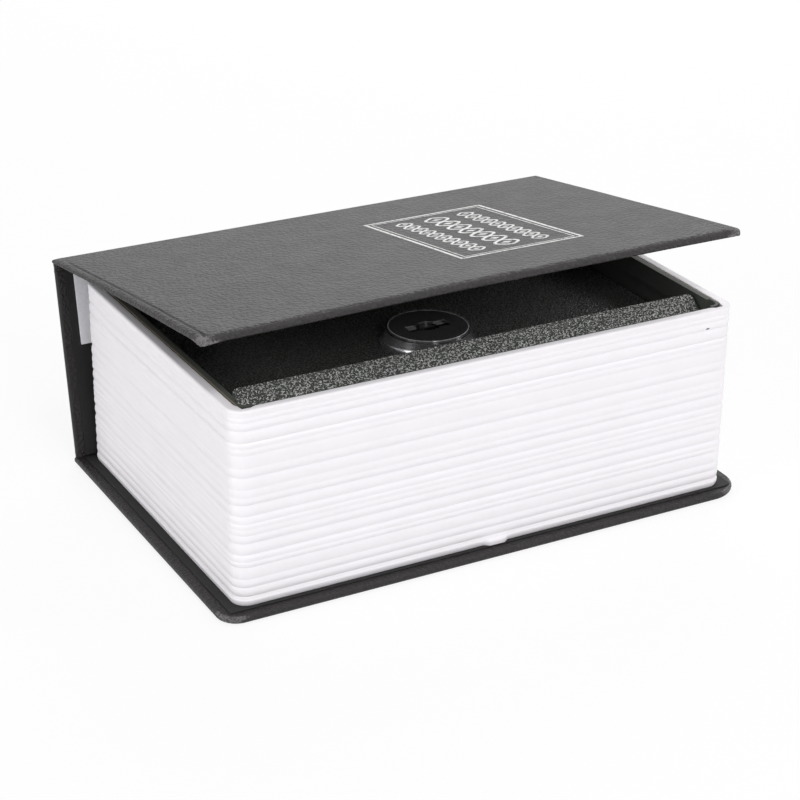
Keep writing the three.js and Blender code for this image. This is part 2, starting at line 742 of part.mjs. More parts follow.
// Lock: a skirt and cap on the lid, a barrel clamped through it, and a case with the bolt below
function skirtGeometry() {
  const base = lidTop + glueLine;
  const profile = [[barrelRadius + coreClearance, base], [skirtRadius, base], [skirtRadius, base + skirtEdge]];
  const flare = new THREE.QuadraticBezierCurve(
    new THREE.Vector2(skirtRadius - flareStart, base + skirtEdge + flareStart / 2),
    new THREE.Vector2(skirtTopRadius, base + skirtEdge + flareSag),
    new THREE.Vector2(skirtTopRadius, skirtTop));
  for (const point of flare.getPoints(5)) {
    profile.push([point.x, point.y]);
  }
  profile.push([barrelRadius + coreClearance, skirtTop], [barrelRadius + coreClearance, base]);
  return turned(profile, 0, lockY);
}

function bowTieShape() {
  const half = bowLength / 2;
  return polygon([
    [-half, -bowEndWidth / 2], [0, -bowWaist / 2], [half, -bowEndWidth / 2],
    [half, bowEndWidth / 2], [0, bowWaist / 2], [-half, bowEndWidth / 2],
  ]);
}

function capGeometry() {
  const top = capBottom + capThickness;
  const profile = [
    [0, capBottom],
    [capRadius - capEdge, capBottom],
    [capRadius, capBottom + capEdge],
    [capRadius, top - capEdge],
    [capRadius - capEdge, top],
    [capRadius - capEdge - capLand, top],
    [capRadius - capEdge - capLand - capBevel, top - capDish],
    [0, top - capDish],
  ];
  const wings = extrudeUp(bowTieShape(), capBottom - overcut, top + overcut).translate(0, lockY, 0);
  const centre = disc(bowCentreRadius, 0, lockY, capBottom - overcut, top + overcut, coreSides);
  return combine(turned(profile, 0, lockY), [], [wings, centre]);
}

function barrelGeometry() {
  const bore = coreRadius + coreClearance;
  const profile = [
    [bore, barrelBottom],
    [barrelRadius, barrelBottom],
    [barrelRadius, skirtTop],
    [bore, skirtTop],
    [bore, barrelBottom],
  ];
  return turned(profile, 0, lockY);
}

function nutGeometry() {
  const cornerRadius = nutAcrossFlats / Math.sqrt(3);
  const nut = disc(cornerRadius, 0, lockY, nutTop - nutHeight, nutTop, hexagonSides);
  const bore = disc(barrelRadius + coreClearance, 0, lockY, nutTop - nutHeight - overcut, nutTop + overcut);
  return combine(nut, [], [bore]);
}

function caseGeometry() {
  const top = nutTop;
  const front = lockY - caseLength / 2;
  const rear = lockY + caseLength / 2;
  const half = caseWidth / 2;
  const shell = block(-half, half, front, rear, caseFloor - caseSheet, top);
  const flange = block(-half - caseFlange, half + caseFlange, front, rear, top - caseSheet, top);
  const hollow = block(-half + caseSheet, half - caseSheet, front + caseSheet, rear - caseSheet, caseFloor,
    top + overcut);
  const boltSlot = block(-boltWidth / 2 - runningGap, boltWidth / 2 + runningGap, front - overcut,
    front + 2 * caseSheet, boltBottom - 0.8 * runningGap, boltTop + runningGap);
  return combine(shell, [flange], [hollow, boltSlot]);
}

function addLockBody(group) {
  piece(group, 'lock_skirt', skirtGeometry(), skirtFinish);
  piece(group, 'lock_cap', capGeometry(), capFinish);
  piece(group, 'lock_barrel', barrelGeometry(), brassFinish);
  piece(group, 'barrel_nut', nutGeometry(), zincFinish);
  piece(group, 'lock_case', caseGeometry(), steelFinish);
}

function addKeyCore(group) {
  const bottom = camTop + glueLine;
  const core = disc(coreRadius, 0, lockY, bottom, skirtTop, coreSides);
  const keyway = block(-keywayLength / 2, keywayLength / 2, lockY - keywayWidth / 2, lockY + keywayWidth / 2,
    skirtTop - keywayDepth, skirtTop + overcut);
  piece(group, 'key_core', combine(core, [], [keyway]), brassFinish);
  const cam = disc(camRadius, 0, lockY, camBottom, camTop, coreSides);
  const pinOffset = boltTravel / 2;
  const pin = disc(camPinRadius, pinOffset, lockY + pinOffset, boltBottom + runningGap, camBottom + camPinRoot,
    pinSides);
  piece(group, 'cam_disc', combine(cam, [pin], []), zincFinish);
}

function addBolt(group) {
  const half = boltWidth / 2;
  const plate = block(-half, half, boltTip, lockY + boltTail, boltBottom, boltTop);
  const slotY = lockY + boltTravel / 2;
  const slotHalf = camPinRadius + runningGap;
  const slot = block(boltTravel / 2 - slotHalf, camThrow + slotHalf, slotY - slotHalf, slotY + slotHalf,
    boltBottom - overcut, boltTop + overcut);
  const nose = [-1, 1].map((side) => {
    const corner = polygon([
      [side * half, boltTip],
      [side * (half - boltChamfer), boltTip],
      [side * half, boltTip + boltChamfer],
    ]);
    return extrudeUp(corner, boltBottom - overcut, boltTop + overcut);
  });
  piece(group, 'lock_bolt', combine(plate, [], [slot, ...nose]), zincFinish);
}

// Assembly
const book = new THREE.Group();

addPanel(book, 'back', coverWidth, backCornerRadius, true).position.set(0, coverWidth / 2, 0);
piece(book, 'page_moulding', pageMouldingGeometry(), pageFinish);
piece(book, 'safe_tray', trayGeometry(), steelFinish);
addTrayRivets(book);
addLidRests(book);
addStrike(book);
addWallHinges(book);

const lid = new THREE.Group();
piece(lid, 'lid_plate', lidPlateGeometry(), steelFinish);
addLidHinges(lid);
addLockBody(lid);
addKeyCore(lid);
addBolt(lid);
book.add(lid);

// The spine turns on the back cover's rear edge, and the front cover on the spine's top edge
const spine = new THREE.Group();
spine.position.set(0, coverWidth / 2, coverThickness);
spine.rotation.x = -leanAngle;
const spinePanel = addPanel(spine, 'spine', spineHeight - 2 * hingeGap, 0, false);
spinePanel.rotation.set(-Math.PI / 2, Math.PI, 0);
spinePanel.position.z = hingeGap;
const stripTop = spineHeight - 2 * hingeGap;
const stripFace = -coverThickness - glueLine;
piece(spine, 'spine_strip', block(-pageHalfLength, pageHalfLength, stripFace - spineStripThickness, stripFace,
  stripTop - spineStripHeight, stripTop), cardFinish);
book.add(spine);

const frontCover = new THREE.Group();
frontCover.position.set(0, 0, spineHeight);
const frontPanel = addPanel(frontCover, 'front', coverWidth, frontCornerRadius, true);
frontPanel.rotation.y = Math.PI;
frontPanel.position.z = coverThickness;
spine.add(frontCover);

export default book;
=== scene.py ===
import json
import math
from contextlib import contextmanager
from dataclasses import dataclass

import bmesh
import bpy
from bpy.props import FloatProperty, FloatVectorProperty, IntProperty, PointerProperty
from mathutils import Matrix, Vector, noise


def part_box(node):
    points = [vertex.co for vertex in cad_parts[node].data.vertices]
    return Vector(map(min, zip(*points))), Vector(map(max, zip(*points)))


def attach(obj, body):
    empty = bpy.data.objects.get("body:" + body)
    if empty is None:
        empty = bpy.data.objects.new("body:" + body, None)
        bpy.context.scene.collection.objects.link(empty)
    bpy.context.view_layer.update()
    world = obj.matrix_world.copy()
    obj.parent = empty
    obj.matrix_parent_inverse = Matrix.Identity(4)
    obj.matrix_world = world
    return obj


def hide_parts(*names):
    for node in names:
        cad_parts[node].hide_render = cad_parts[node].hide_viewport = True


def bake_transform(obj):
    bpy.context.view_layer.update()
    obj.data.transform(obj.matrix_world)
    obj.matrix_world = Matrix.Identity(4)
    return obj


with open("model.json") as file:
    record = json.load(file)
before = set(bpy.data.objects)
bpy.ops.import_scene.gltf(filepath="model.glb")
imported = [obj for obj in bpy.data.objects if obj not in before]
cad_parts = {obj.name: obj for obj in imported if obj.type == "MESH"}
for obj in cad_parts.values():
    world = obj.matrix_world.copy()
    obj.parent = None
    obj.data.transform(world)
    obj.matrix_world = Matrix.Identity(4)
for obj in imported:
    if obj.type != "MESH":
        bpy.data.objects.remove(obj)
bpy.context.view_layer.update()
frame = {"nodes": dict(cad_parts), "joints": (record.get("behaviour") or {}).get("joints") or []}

bl_info = {
    "name": "Book diversion safe",
    "version": (1, 0, 0),
    "blender": (4, 5, 0),
    "location": "3D View > Sidebar > Book safe",
    "description": "Dresses a cloth-covered book safe: covered boards, ribbed pages, steel tray and lock",
    "category": "Object",
}

MM = 0.001


def srgb(code):
    """A hex colour as linear red, green and blue."""
    shares = [int(code[k:k + 2], 16) / 255 for k in (1, 3, 5)]
    return tuple(c / 12.92 if c <= 0.04045 else ((c + 0.055) / 1.055) ** 2.4 for c in shares)


# Places and sizes read from the frame
HINGES = {joint["name"]: Vector(joint["pos_m"]) for joint in frame["joints"] if "pos_m" in joint}
SPINE_FOOT = HINGES["spine_hinge"]
SPINE_TOP = HINGES["cover_hinge"]
RISE = (SPINE_TOP - SPINE_FOOT).normalized()
OUTWARD = Vector((0, RISE.z, -RISE.y))
BACK_LOW, BACK_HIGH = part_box("back_cloth")
HALF_LENGTH = BACK_HIGH.x
COVER_WIDTH = BACK_HIGH.y - BACK_LOW.y
WRAP_THICKNESS = BACK_HIGH.z
PANEL_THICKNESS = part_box("back_lining")[1].z
PAGE_LOW, PAGE_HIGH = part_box("page_moulding")
TRAY_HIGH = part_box("safe_tray")[1]
CAP_LOW, CAP_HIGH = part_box("lock_cap")
LOCK_PLACE = HINGES["key_turn"]
LACQUER_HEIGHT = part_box("lock_barrel")[1].z - 1.5 * MM

# Covered boards
HINGE_GAP = 0.4 * MM
SPINE_WIDTH = (SPINE_TOP - SPINE_FOOT).length - 2 * HINGE_GAP
CLOTH = 0.35 * MM
HINGE_ROLL = 1.0 * MM
EDGE_ROLL = 1.9 * MM
ROLL_DEPTH = 1.3 * MM
INNER_ROLL = 0.7 * MM
TURN_IN_STEPS = [inset * MM for inset in (1.4, 2.2, 3.2, 5, 8, 11, 14)]
FINE_STEP = 0.5 * MM
COARSE_STEP = 2.2 * MM
FINE_MARGIN = 9 * MM
BACK_CORNER_TAIL = 6.5 * MM
BACK_CORNER_HEAD = 10.5 * MM
FRONT_CORNER = 1.5 * MM
PLEAT_REACH = 7 * MM
PLEAT_PITCH = 1.3 * MM
PLEAT_HEIGHT = 0.42 * MM
CREASE_DEPTH = 0.3 * MM
CREASE_PLACE = 2.2 * MM
CREASE_WIDTH = 0.4 * MM
SEAM_HEIGHT = 0.15 * MM
SEAM_WIDTH = 1.1 * MM
CREASE_FADE = 20 * MM
CREASE_STRAY = 0.25 * MM
CREASE_STRAY_LENGTH = 9 * MM
THIN_EDGE = 7 * MM
THIN_AT_HINGE = 0.42
THIN_LOST_AT_FORE = 0.3
HANGING_TIP = 4.5 * MM
TIP_SHARE = 0.8
WARP = 0.16 * MM
WARP_ALONG = 45 * MM
WARP_ACROSS = 40 * MM
BOARD_CUTS = 6 * MM

# How far the cloth is painted paler: rubbed by use on the face beside its edges, on the outer and inner rolls and on
# the turn-ins; on the two rolls this also stands for a painted highlight along the edges
FACE_RUB = 0.2
FACE_RUB_WIDTH = 4 * MM
OUTER_RUB_AND_HIGHLIGHT = 0.55
INNER_RUB_AND_HIGHLIGHT = 0.85
TURN_IN_RUB = 0.15
RUB_ALONG_EDGE = 0.7
RUB_MORE_AT_CORNER = 1.3

# Page moulding: leaves in each rib from the top down, and how deep the groove under each rib is
LEAF = 0.1 * MM
RIB_LEAVES = (22, 16, 25, 37, 18, 19, 40, 29, 37, 25, 23, 35, 24, 17, 19, 26, 36, 22, 17, 38, 27, 29, 29)
GROOVE_SHARES = (
    0.3, 0.5, 0.9, 1, 0.3, 0.45, 0.4, 0.95, 0.55, 0.35, 1, 0.9, 0.45, 0.25, 0.45, 1, 1, 0.3, 0.6, 0.5, 0.7, 0.85, 0.8,
)
TOP_GROOVE = 0.15
RIB_SHAPE = 1.8
RIB_STATIONS = (0, 0.03, 0.09, 0.2, 0.35, 0.5, 0.65, 0.8, 0.91, 0.97)
STRIA = 0.07
STRIA_PITCH = 0.45 * MM
WANDER_LENGTH = 30 * MM
REAR_FADE = 0.45
SIDE_STATIONS = ((96, 270), (44, 0), (40, 90), (44, 180))
CORNER_STEPS = 10
PAGE_CORNER = 5 * MM
REAR_CORNER = 2.6 * MM
POCKET_CORNER = 3.4 * MM
SIDE_WALL = 3 * MM
FRONT_WALL = 2.7 * MM
REAR_WALL = 2.4 * MM
RIM_ROLL = 0.75 * MM
INNER_RIM_ROLL = 0.3 * MM
LEDGE_WIDTH = 8 * MM
LEDGE_THICKNESS = 2 * MM
RELIEF_INSET = 0.5 * MM
RELIEF_WIDTH = 3.2 * MM
RELIEF_DEPTH = 0.9 * MM
RELIEF_DROP = 4 * MM
GATE_CENTRE = 1 * MM
GATE_WIDTH = 6 * MM
GATE_HEIGHT = 1.5 * MM
GATE_DEPTH = 0.8 * MM
# A small dark mark that the photograph shows on the front wall
SPECK_PLACE = (74.1 * MM, -55.2 * MM, 58.3 * MM)


def colour_setting(name, description, code):
    """A colour that the user can change, its default a hex colour."""
    return FloatVectorProperty(name=name, description=description, subtype="COLOR", min=0, max=1, default=srgb(code))


def length_setting(name, description, default):
    """A length that the user can change."""
    return FloatProperty(name=name, description=description, unit="LENGTH", default=default)


def angle_setting(name, description, degrees):
    """An angle that the user can change, its default in degrees."""
    return FloatProperty(name=name, description=description, subtype="ANGLE", default=math.radians(degrees))


def power_setting(name, description, watts):
    """A lamp's power that the user can change."""
    return FloatProperty(name=name, description=description, unit="POWER", default=watts)


class CoverSettings(bpy.types.PropertyGroup):
    """Sizes and colours of the covered boards."""

    cloth_colour: colour_setting("Cloth", "Colour of the leatherette", "#322f30")
    # Pale colour of rubbed edges, also used for the painted highlight on the rolls
    worn_and_highlit_colour: colour_setting("Worn edges", "Colour of the leatherette where it is rubbed", "#827f80")
    grain: length_setting("Grain", "Width of one pebble of the embossed grain", 1.4 * MM)
    corner_droop: length_setting("Corner droop", "How far the tail corner of the front cover hangs", 1.0 * MM)
    foil_colour: colour_setting("Foil", "Colour of the stamped foil", "#d9d9d8")


class PageSettings(bpy.types.PropertyGroup):
    """Sizes and colour of the page moulding."""

    colour: colour_setting("Plastic", "Colour of the moulded pages", "#f5f2f6")
    groove_depth: length_setting("Groove depth", "Depth of the deepest groove between two ribs", 0.44 * MM)
    wander: length_setting("Wander", "How far a rib strays from a straight line", 0.12 * MM)
    seed: IntProperty(name="Seed", description="Picks the pattern of the ribs' unevenness", default=7, min=0)


class SafeSettings(bpy.types.PropertyGroup):
    """Sizes and colours of the steelwork and the lock."""

    coat_colour: colour_setting("Powder coat", "Colour of the wrinkle coat", "#565955")
    wrinkle: length_setting("Wrinkle", "Distance from one wrinkle of the coat to the next", 0.56 * MM)
    edge_radius: length_setting("Edge radius", "Rounding of the sheet edges under the coat", 0.25 * MM)
    skirt_colour: colour_setting("Lock skirt", "Colour of the satin nickel skirt", "#b4b3b6")
    cap_colour: colour_setting("Lock cap", "Colour of the glossy cap", "#505052")


class StageSettings(bpy.types.PropertyGroup):
    """Camera and light."""

    camera_azimuth: angle_setting("Azimuth", "Turn of the camera round the book, from straight in front", -28.79)
    camera_elevation: angle_setting("Elevation", "Height of the camera above the horizon", 24.76)
    camera_roll: angle_setting("Roll", "Turn of the camera about its own axis", 0.55)
    camera_place: FloatVectorProperty(
        name="Place", description="Where the camera stands", subtype="TRANSLATION", unit="LENGTH",
        default=(-0.29929, -0.54032, 0.31271))
    focal_length: FloatProperty(
        name="Focal length", description="Focal length in millimetres on a 36 mm sensor", default=97.07)
    sky: FloatProperty(name="Sky", description="Strength of the even studio light", default=0.43)
    back_light: power_setting("Back softbox", "Power of the softbox above and behind the book", 4.9)
    front_light: power_setting("Front softbox", "Power of the softbox in front of the book", 2.9)
    high_light: power_setting("High softbox", "Power of the softbox above the fore edge", 2.8)
    side_light: power_setting("Side softbox", "Power of the low softbox at the book's tail", 4.0)


class BookSafeSettings(bpy.types.PropertyGroup):
    """All settings of the book safe."""

    cover: PointerProperty(type=CoverSettings)
    pages: PointerProperty(type=PageSettings)
    safe: PointerProperty(type=SafeSettings)
    stage: PointerProperty(type=StageSettings)


def settings():
    """The scene's own settings."""
    return bpy.context.scene.book_safe


# Nodes that are used often: Blender's name, the sockets that values fill in turn, the output and the options
USUAL_NODES = {
    "place": ("ShaderNodeTexCoord", (), "Object", {}),
    "attribute": ("ShaderNodeAttribute", (), "Fac", {}),
    "noise": ("ShaderNodeTexNoise", ("Vector", "Scale", "Detail", "Distortion"), "Fac", {}),
    "range": ("ShaderNodeMapRange", ("Value", "From Min", "From Max", "To Min", "To Max"), "Result",
              {"interpolation_type": "SMOOTHSTEP"}),
    "mix": ("ShaderNodeMix", ("Factor", "A", "B"), None, {"data_type": "RGBA", "clamp_factor": True}),
    "bump": ("ShaderNodeBump", ("Height", "Distance", "Strength", "Normal"), "Normal", {}),
    "product": ("ShaderNodeMath", (0, 1), 0, {"operation": "MULTIPLY"}),
    "difference": ("ShaderNodeMath", (0, 1), 0, {"operation": "SUBTRACT"}),
    "larger": ("ShaderNodeMath", (0, 1), 0, {"operation": "MAXIMUM"}),
    "absolute": ("ShaderNodeMath", (0,), 0, {"operation": "ABSOLUTE"}),
    "height": ("ShaderNodeSeparateXYZ", (0,), "Z", {}),
    "vector product": ("ShaderNodeVectorMath", (0, 1), 0, {"operation": "MULTIPLY"}),
    "vector difference": ("ShaderNodeVectorMath", (0, 1), 0, {"operation": "SUBTRACT"}),
    "scaled vector": ("ShaderNodeVectorMath", (0, "Scale"), 0, {"operation": "SCALE"}),
    "length": ("ShaderNodeVectorMath", (0,), "Value", {"operation": "LENGTH"}),
    "mesh attribute": ("GeometryNodeInputNamedAttribute", ("Name",), None, {"data_type": "FLOAT"}),
    "transform": ("GeometryNodeTransform", (), None, {}),
    "instances": ("GeometryNodeInstanceOnPoints", (), None, {}),
}


def fill(socket, value):
    """Gives a socket a value, or links it to the socket, or list of sockets, that feeds it."""
    if isinstance(value, (bpy.types.NodeSocket, list)):
        for source in value if isinstance(value, list) else [value]:
            socket.id_data.links.new(source, socket)
    else:
        socket.default_value = (*value, 1) if socket.type == "RGBA" and len(value) == 3 else value


def add_node(tree, kind, *values, output=None, **options):
    """Adds a usual node, or one by Blender's own name, with its options. Values fill its sockets in turn, or by name
    from a dictionary. Returns an output: the one asked for, the usual one or the first in use."""
    blender_name, keys, usual_output, usual_options = USUAL_NODES.get(kind, (kind, (), None, {}))
    node = tree.nodes.new(blender_name)
    for name, value in {**usual_options, **options}.items():
        setattr(node, name, value)
    inputs = values[0] if values and isinstance(values[0], dict) else dict(zip(keys, values))
    for key, value in inputs.items():
        in_use = [socket for socket in node.inputs if socket.enabled and socket.name == key]
        fill(in_use[0] if in_use else node.inputs[key], value)
    output = usual_output if output is None else output
    if output is None:
        return next((socket for socket in node.outputs if socket.enabled), None)
    return node.outputs[output]


# Materials
SHADER_SOCKETS = {
    "colour": "Base Color", "roughness": "Roughness", "metallic": "Metallic", "specular": "Specular IOR Level",
    "ior": "IOR", "coat": "Coat Weight", "coat_roughness": "Coat Roughness", "normal": "Normal",
}
GRAIN_RELIEF = 0.3 * MM
CREPE_RELIEF = 0.42 * MM
WRINKLE_RELIEF = 0.18 * MM
SKIN_RELIEF = 0.01 * MM
FOIL_RELIEF = 0.06 * MM
HAIRLINE_RELIEF = 0.004 * MM

# Patterns per metre: cloth tone 9 mm wide, flow mottle 11 mm, mould skin 0.7 mm, haze on zinc and brass 7 mm, haze on
# nickel 4 mm and hairlines 1.7 mm
TONE_SCALE = 110
MOTTLE_SCALE = 90
SKIN_SCALE = 1500
HAZE_SCALE = 150
NICKEL_HAZE_SCALE = 250
HAIRLINE_SCALE = 600


def set_shader(shader, **values):
    """Fills the shader's own sockets with values or with what feeds them."""
    for key, value in values.items():
        fill(shader.inputs[SHADER_SOCKETS[key]], value)


def new_material(name, colour, roughness, **constants):
    """The node tree of a new material and its Principled shader, its constants set on the shader's own sockets."""
    material = bpy.data.materials.new(name)
    material.use_nodes = True
    material.diffuse_color = (*colour, 1)
    shader = material.node_tree.nodes["Principled BSDF"]
    set_shader(shader, colour=colour, roughness=roughness, **constants)
    return material.node_tree, shader


def toned(colour, share):
    """A colour made darker or paler."""
    return tuple(min(1, share * c) for c in colour)


def leatherette(name):
    """Vinyl-coated book cloth, embossed: dull charcoal with fine creases, paler where edges are rubbed, and paler on
    the rolls also as a painted highlight. The wraps say by their attributes how much use and painted highlight have
    paled them, and where painted shade darkens them and takes their shine: in the pressed crease and on the rolls and
    turn-ins."""
    cover = settings().cover
    tree, shader = new_material(name, cover.cloth_colour, 0.5)
    place = add_node(tree, "place")
    stir = add_node(tree, "noise", place, 0.7 / cover.grain, 2, output="Color")
    moved = add_node(tree, "ShaderNodeVectorMath", {
        0: place, 1: add_node(tree, "scaled vector", stir, 0.9 * cover.grain)}, operation="ADD")
    pebble = add_node(tree, "ShaderNodeTexVoronoi", {"Vector": moved, "Scale": 1 / cover.grain}, feature="F1")
    crepe = add_node(tree, "noise", place, 1.7 / cover.grain, 3, 0.6)
    tone = add_node(tree, "noise", place, TONE_SCALE, 5)
    # Painted shade on the crease, the rolls and the turn-ins, as the wraps give it
    soil = add_node(tree, "attribute", attribute_name="soil")
    crown = add_node(tree, "product", add_node(tree, "range", pebble, 0.85, 0.05),
                     add_node(tree, "range", soil, 0, 0.5, 1, 0.1))
    # Paleness from use, and on the rolls a painted highlight
    worn_and_highlit = add_node(tree, "product", add_node(tree, "attribute", attribute_name="wear"),
                    add_node(tree, "noise", place, 4 / cover.grain, 4, 1.5))
    grained = add_node(tree, "mix", add_node(tree, "product", crown, tone), toned(cover.cloth_colour, 0.7),
                       toned(cover.cloth_colour, 1.35))
    paler_edge = add_node(tree, "mix", add_node(tree, "range", worn_and_highlit, 0.36, 0.62), grained, cover.worn_and_highlit_colour)
    embossed = add_node(tree, "bump", crown, GRAIN_RELIEF)
    # Painted shade: those places are darkened towards three tenths of the cloth colour, with their shine and grain
    # dulled
    set_shader(shader, colour=add_node(tree, "mix", soil, paler_edge, toned(cover.cloth_colour, 0.3)),
               roughness=add_node(tree, "range", tone, 0.3, 0.7, 0.5, 0.55),
               specular=add_node(tree, "range", soil, 0, 1, 0.36, 0.05),
               normal=add_node(tree, "bump", crepe, CREPE_RELIEF, 1, embossed))


def fibre_sheet(name, colour, roughness, fibre, lift, contrast):
    """Paper or board: pressed fibres, dull, with faint flecks. Single fibres are finer than the picture shows, so the
    flecks are drawn as wide as small clumps of them."""
    tree, shader = new_material(name, colour, roughness)
    fibres = add_node(tree, "noise", add_node(tree, "place"), 1 / fibre, 5, 1.2)
    flecked = add_node(tree, "mix", add_node(tree, "range", fibres, 0.35, 0.65), toned(colour, 1 - contrast),
                       toned(colour, 1 + contrast / 2))
    set_shader(shader, colour=flecked, normal=add_node(tree, "bump", fibres, lift))


def page_plastic(name):
    """Moulded polypropylene: white, satin, with a faint flow mottle, painted shade making the grooves a little darker,
    and one dark speck near a corner."""
    white = settings().pages.colour
    tree, shader = new_material(name, white, 0.42)
    place = add_node(tree, "place")
    mottle = add_node(tree, "noise", place, MOTTLE_SCALE, 4)
    skin = add_node(tree, "noise", place, SKIN_SCALE, 2)
    groove = add_node(tree, "attribute", attribute_name="relief")
    even = add_node(tree, "mix", add_node(tree, "range", mottle, 0.3, 0.7), toned(white, 0.985), white)
    # Painted shade: the grooves are painted a little darker the deeper they are
    groove_shaded = add_node(tree, "mix", add_node(tree, "range", groove, 0.35, 1), even, toned(white, 0.96))
    flat = add_node(tree, "vector product", add_node(tree, "vector difference", place, SPECK_PLACE), (1, 1, 2.5))
    speck = add_node(tree, "range", add_node(tree, "length", flat), 1.0 * MM, 0.6 * MM)
    set_shader(shader, colour=add_node(tree, "mix", speck, groove_shaded, srgb("#3a3742")),
               roughness=add_node(tree, "range", mottle, 0.3, 0.7, 0.38, 0.48),
               normal=add_node(tree, "bump", skin, SKIN_RELIEF, 0.5))


def wrinkle_coat(name):
    """Wrinkle powder coat on steel: charcoal, drawn into fine worm-like ridges that shine while the valleys stay dull
    and are painted darker as painted shade. It lies nearly flat inside the tray, and is painted brown-grey along the
    outer edge of the tray's lip."""
    safe = settings().safe
    tree, shader = new_material(name, safe.coat_colour, 0.34, ior=2.1)
    place = add_node(tree, "place")
    along = add_node(tree, "vector product", place, (0.75, 1, 1))
    field = add_node(tree, "noise", along, 1.3 / safe.wrinkle, 0, 0.6)
    in_tray = add_node(tree, "attribute", attribute_name="in_tray")
    drawn = add_node(tree, "product", add_node(tree, "range", field, 0.34, 0.66),
                     add_node(tree, "range", in_tray, 0, 1, 1, 0.15))
    # Painted shade in the wrinkle valleys: their colour falls to 0.55 of the coat's; inside the tray an even mix of the
    # two
    coated = add_node(tree, "mix", add_node(tree, "range", in_tray, 0, 1, drawn, 0.6), toned(safe.coat_colour, 0.55),
                      safe.coat_colour)
    side = add_node(tree, "absolute", add_node(tree, "ShaderNodeSeparateXYZ", {0: place}, output="X"))
    on_top = add_node(tree, "range", add_node(tree, "height", place), TRAY_HIGH.z - 0.6 * MM, TRAY_HIGH.z - 0.2 * MM)
    at_side = add_node(tree, "range", side, TRAY_HIGH.x - 0.5 * MM, TRAY_HIGH.x - 0.25 * MM)
    # The top of the tray's side lips is painted brown-grey
    paler_edge = add_node(tree, "product", in_tray, add_node(tree, "product", on_top, at_side))
    set_shader(shader, colour=add_node(tree, "mix", paler_edge, coated, srgb("#7d7468")),
               specular=add_node(tree, "range", drawn, 0.3, 1, 0.04, 1),
               roughness=add_node(tree, "range", drawn, 0.1, 0.8, 0.5, 0.3),
               normal=add_node(tree, "bump", drawn, WRINKLE_RELIEF))


def hazy_metal(tree, shader, colour, depth, scale, detail):
    """Dims a metal's colour here and there, and returns the haze."""
    haze = add_node(tree, "noise", add_node(tree, "place"), scale, detail)
    set_shader(shader, colour=add_node(tree, "mix", add_node(tree, "range", haze, 0.3, 0.7), toned(colour, depth),
                                       colour))
    return haze


def plated_metal(name, colour, roughness, mark):
    """Plated or turned metal: bright, with fine tool marks, drawn coarser than they are so that they show."""
    tree, shader = new_material(name, colour, roughness, metallic=1)
    hazy_metal(tree, shader, colour, 0.86, HAZE_SCALE, 2)
    marks = add_node(tree, "noise", add_node(tree, "place"), 1 / mark, 3)
    set_shader(shader, roughness=add_node(tree, "range", marks, 0.3, 0.7, roughness - 0.06, roughness + 0.08),
               normal=add_node(tree, "bump", marks, SKIN_RELIEF, 0.4))
    return tree, shader


def satin_nickel(name):
    """Smoked nickel under a thin satin lacquer: grey, soft, with a broad shine."""
    colour = settings().safe.skirt_colour
    tree, shader = new_material(name, colour, 0.2, metallic=0.8)
    haze = hazy_metal(tree, shader, colour, 0.85, NICKEL_HAZE_SCALE, 3)
    set_shader(shader, roughness=add_node(tree, "range", haze, 0.3, 0.7, 0.18, 0.24))


def turned_brass(name):
    """Turned brass, its outer end dipped in black lacquer."""
    tree, shader = plated_metal(name, srgb("#c2a562"), 0.3, 0.4 * MM)
    height = add_node(tree, "height", add_node(tree, "place"))
    dipped = add_node(tree, "range", height, LACQUER_HEIGHT - 0.2 * MM, LACQUER_HEIGHT)
    bare = shader.inputs["Base Color"].links[0].from_socket
    set_shader(shader, colour=add_node(tree, "mix", dipped, bare, srgb("#141416")),
               metallic=add_node(tree, "range", dipped, 0, 1, 1, 0))


def gloss_cap(name):
    """Moulded ABS, polished in the tool: deep black gloss with hairline scratches and a bead painted near white and
    partly metallic, as a painted highlight. The sunk parts are painted darker still, as painted shade. Scratches are
    drawn wider than they are so that they show."""
    black = settings().safe.cap_colour
    tree, shader = new_material(name, black, 0.14, specular=1.0, coat=1.0, coat_roughness=0.05)
    place = add_node(tree, "place")
    hairline = add_node(tree, "noise", place, HAIRLINE_SCALE, 5)
    level = add_node(tree, "vector product", add_node(tree, "vector difference", place, LOCK_PLACE), (1, 1, 0))
    bead = CAP_HIGH.x - CAP_STEP - CAP_BEAD
    off = add_node(tree, "difference", add_node(tree, "length", level), bead)
    # Painted highlight: a thin ring on the bead is painted near white
    line = add_node(tree, "range", add_node(tree, "absolute", off), CAP_BEAD, 0.6 * CAP_BEAD)
    face = CAP_HIGH.z - CAP_DISH
    # Painted shade: below the cap's face the key opening and the lower flange are painted near black
    sunk = add_node(tree, "range", add_node(tree, "height", place), face - 0.3 * MM, face - 0.6 * MM)
    shaded = add_node(tree, "mix", sunk, black, srgb("#060607"))
    set_shader(shader, colour=add_node(tree, "mix", line, shaded, srgb("#ececee")),
               metallic=add_node(tree, "product", line, 0.4),
               roughness=add_node(tree, "range", hairline, 0.35, 0.75, 0.1, 0.24),
               normal=add_node(tree, "bump", hairline, HAIRLINE_RELIEF, 0.4))


def stamped_foil(name):
    """Hot-stamped silver foil: a thin bright film that follows the grain and is broken up where it didn't take."""
    cover = settings().cover
    tree, shader = new_material(name, cover.foil_colour, 0.42, metallic=0.35)
    grain = add_node(tree, "noise", add_node(tree, "place"), 1.2 / cover.grain, 4)
    broken = add_node(tree, "mix", add_node(tree, "range", grain, 0.32, 0.5), toned(cover.foil_colour, 0.45),
                      cover.foil_colour)
    set_shader(shader, colour=broken, normal=add_node(tree, "bump", grain, FOIL_RELIEF, 0.7))


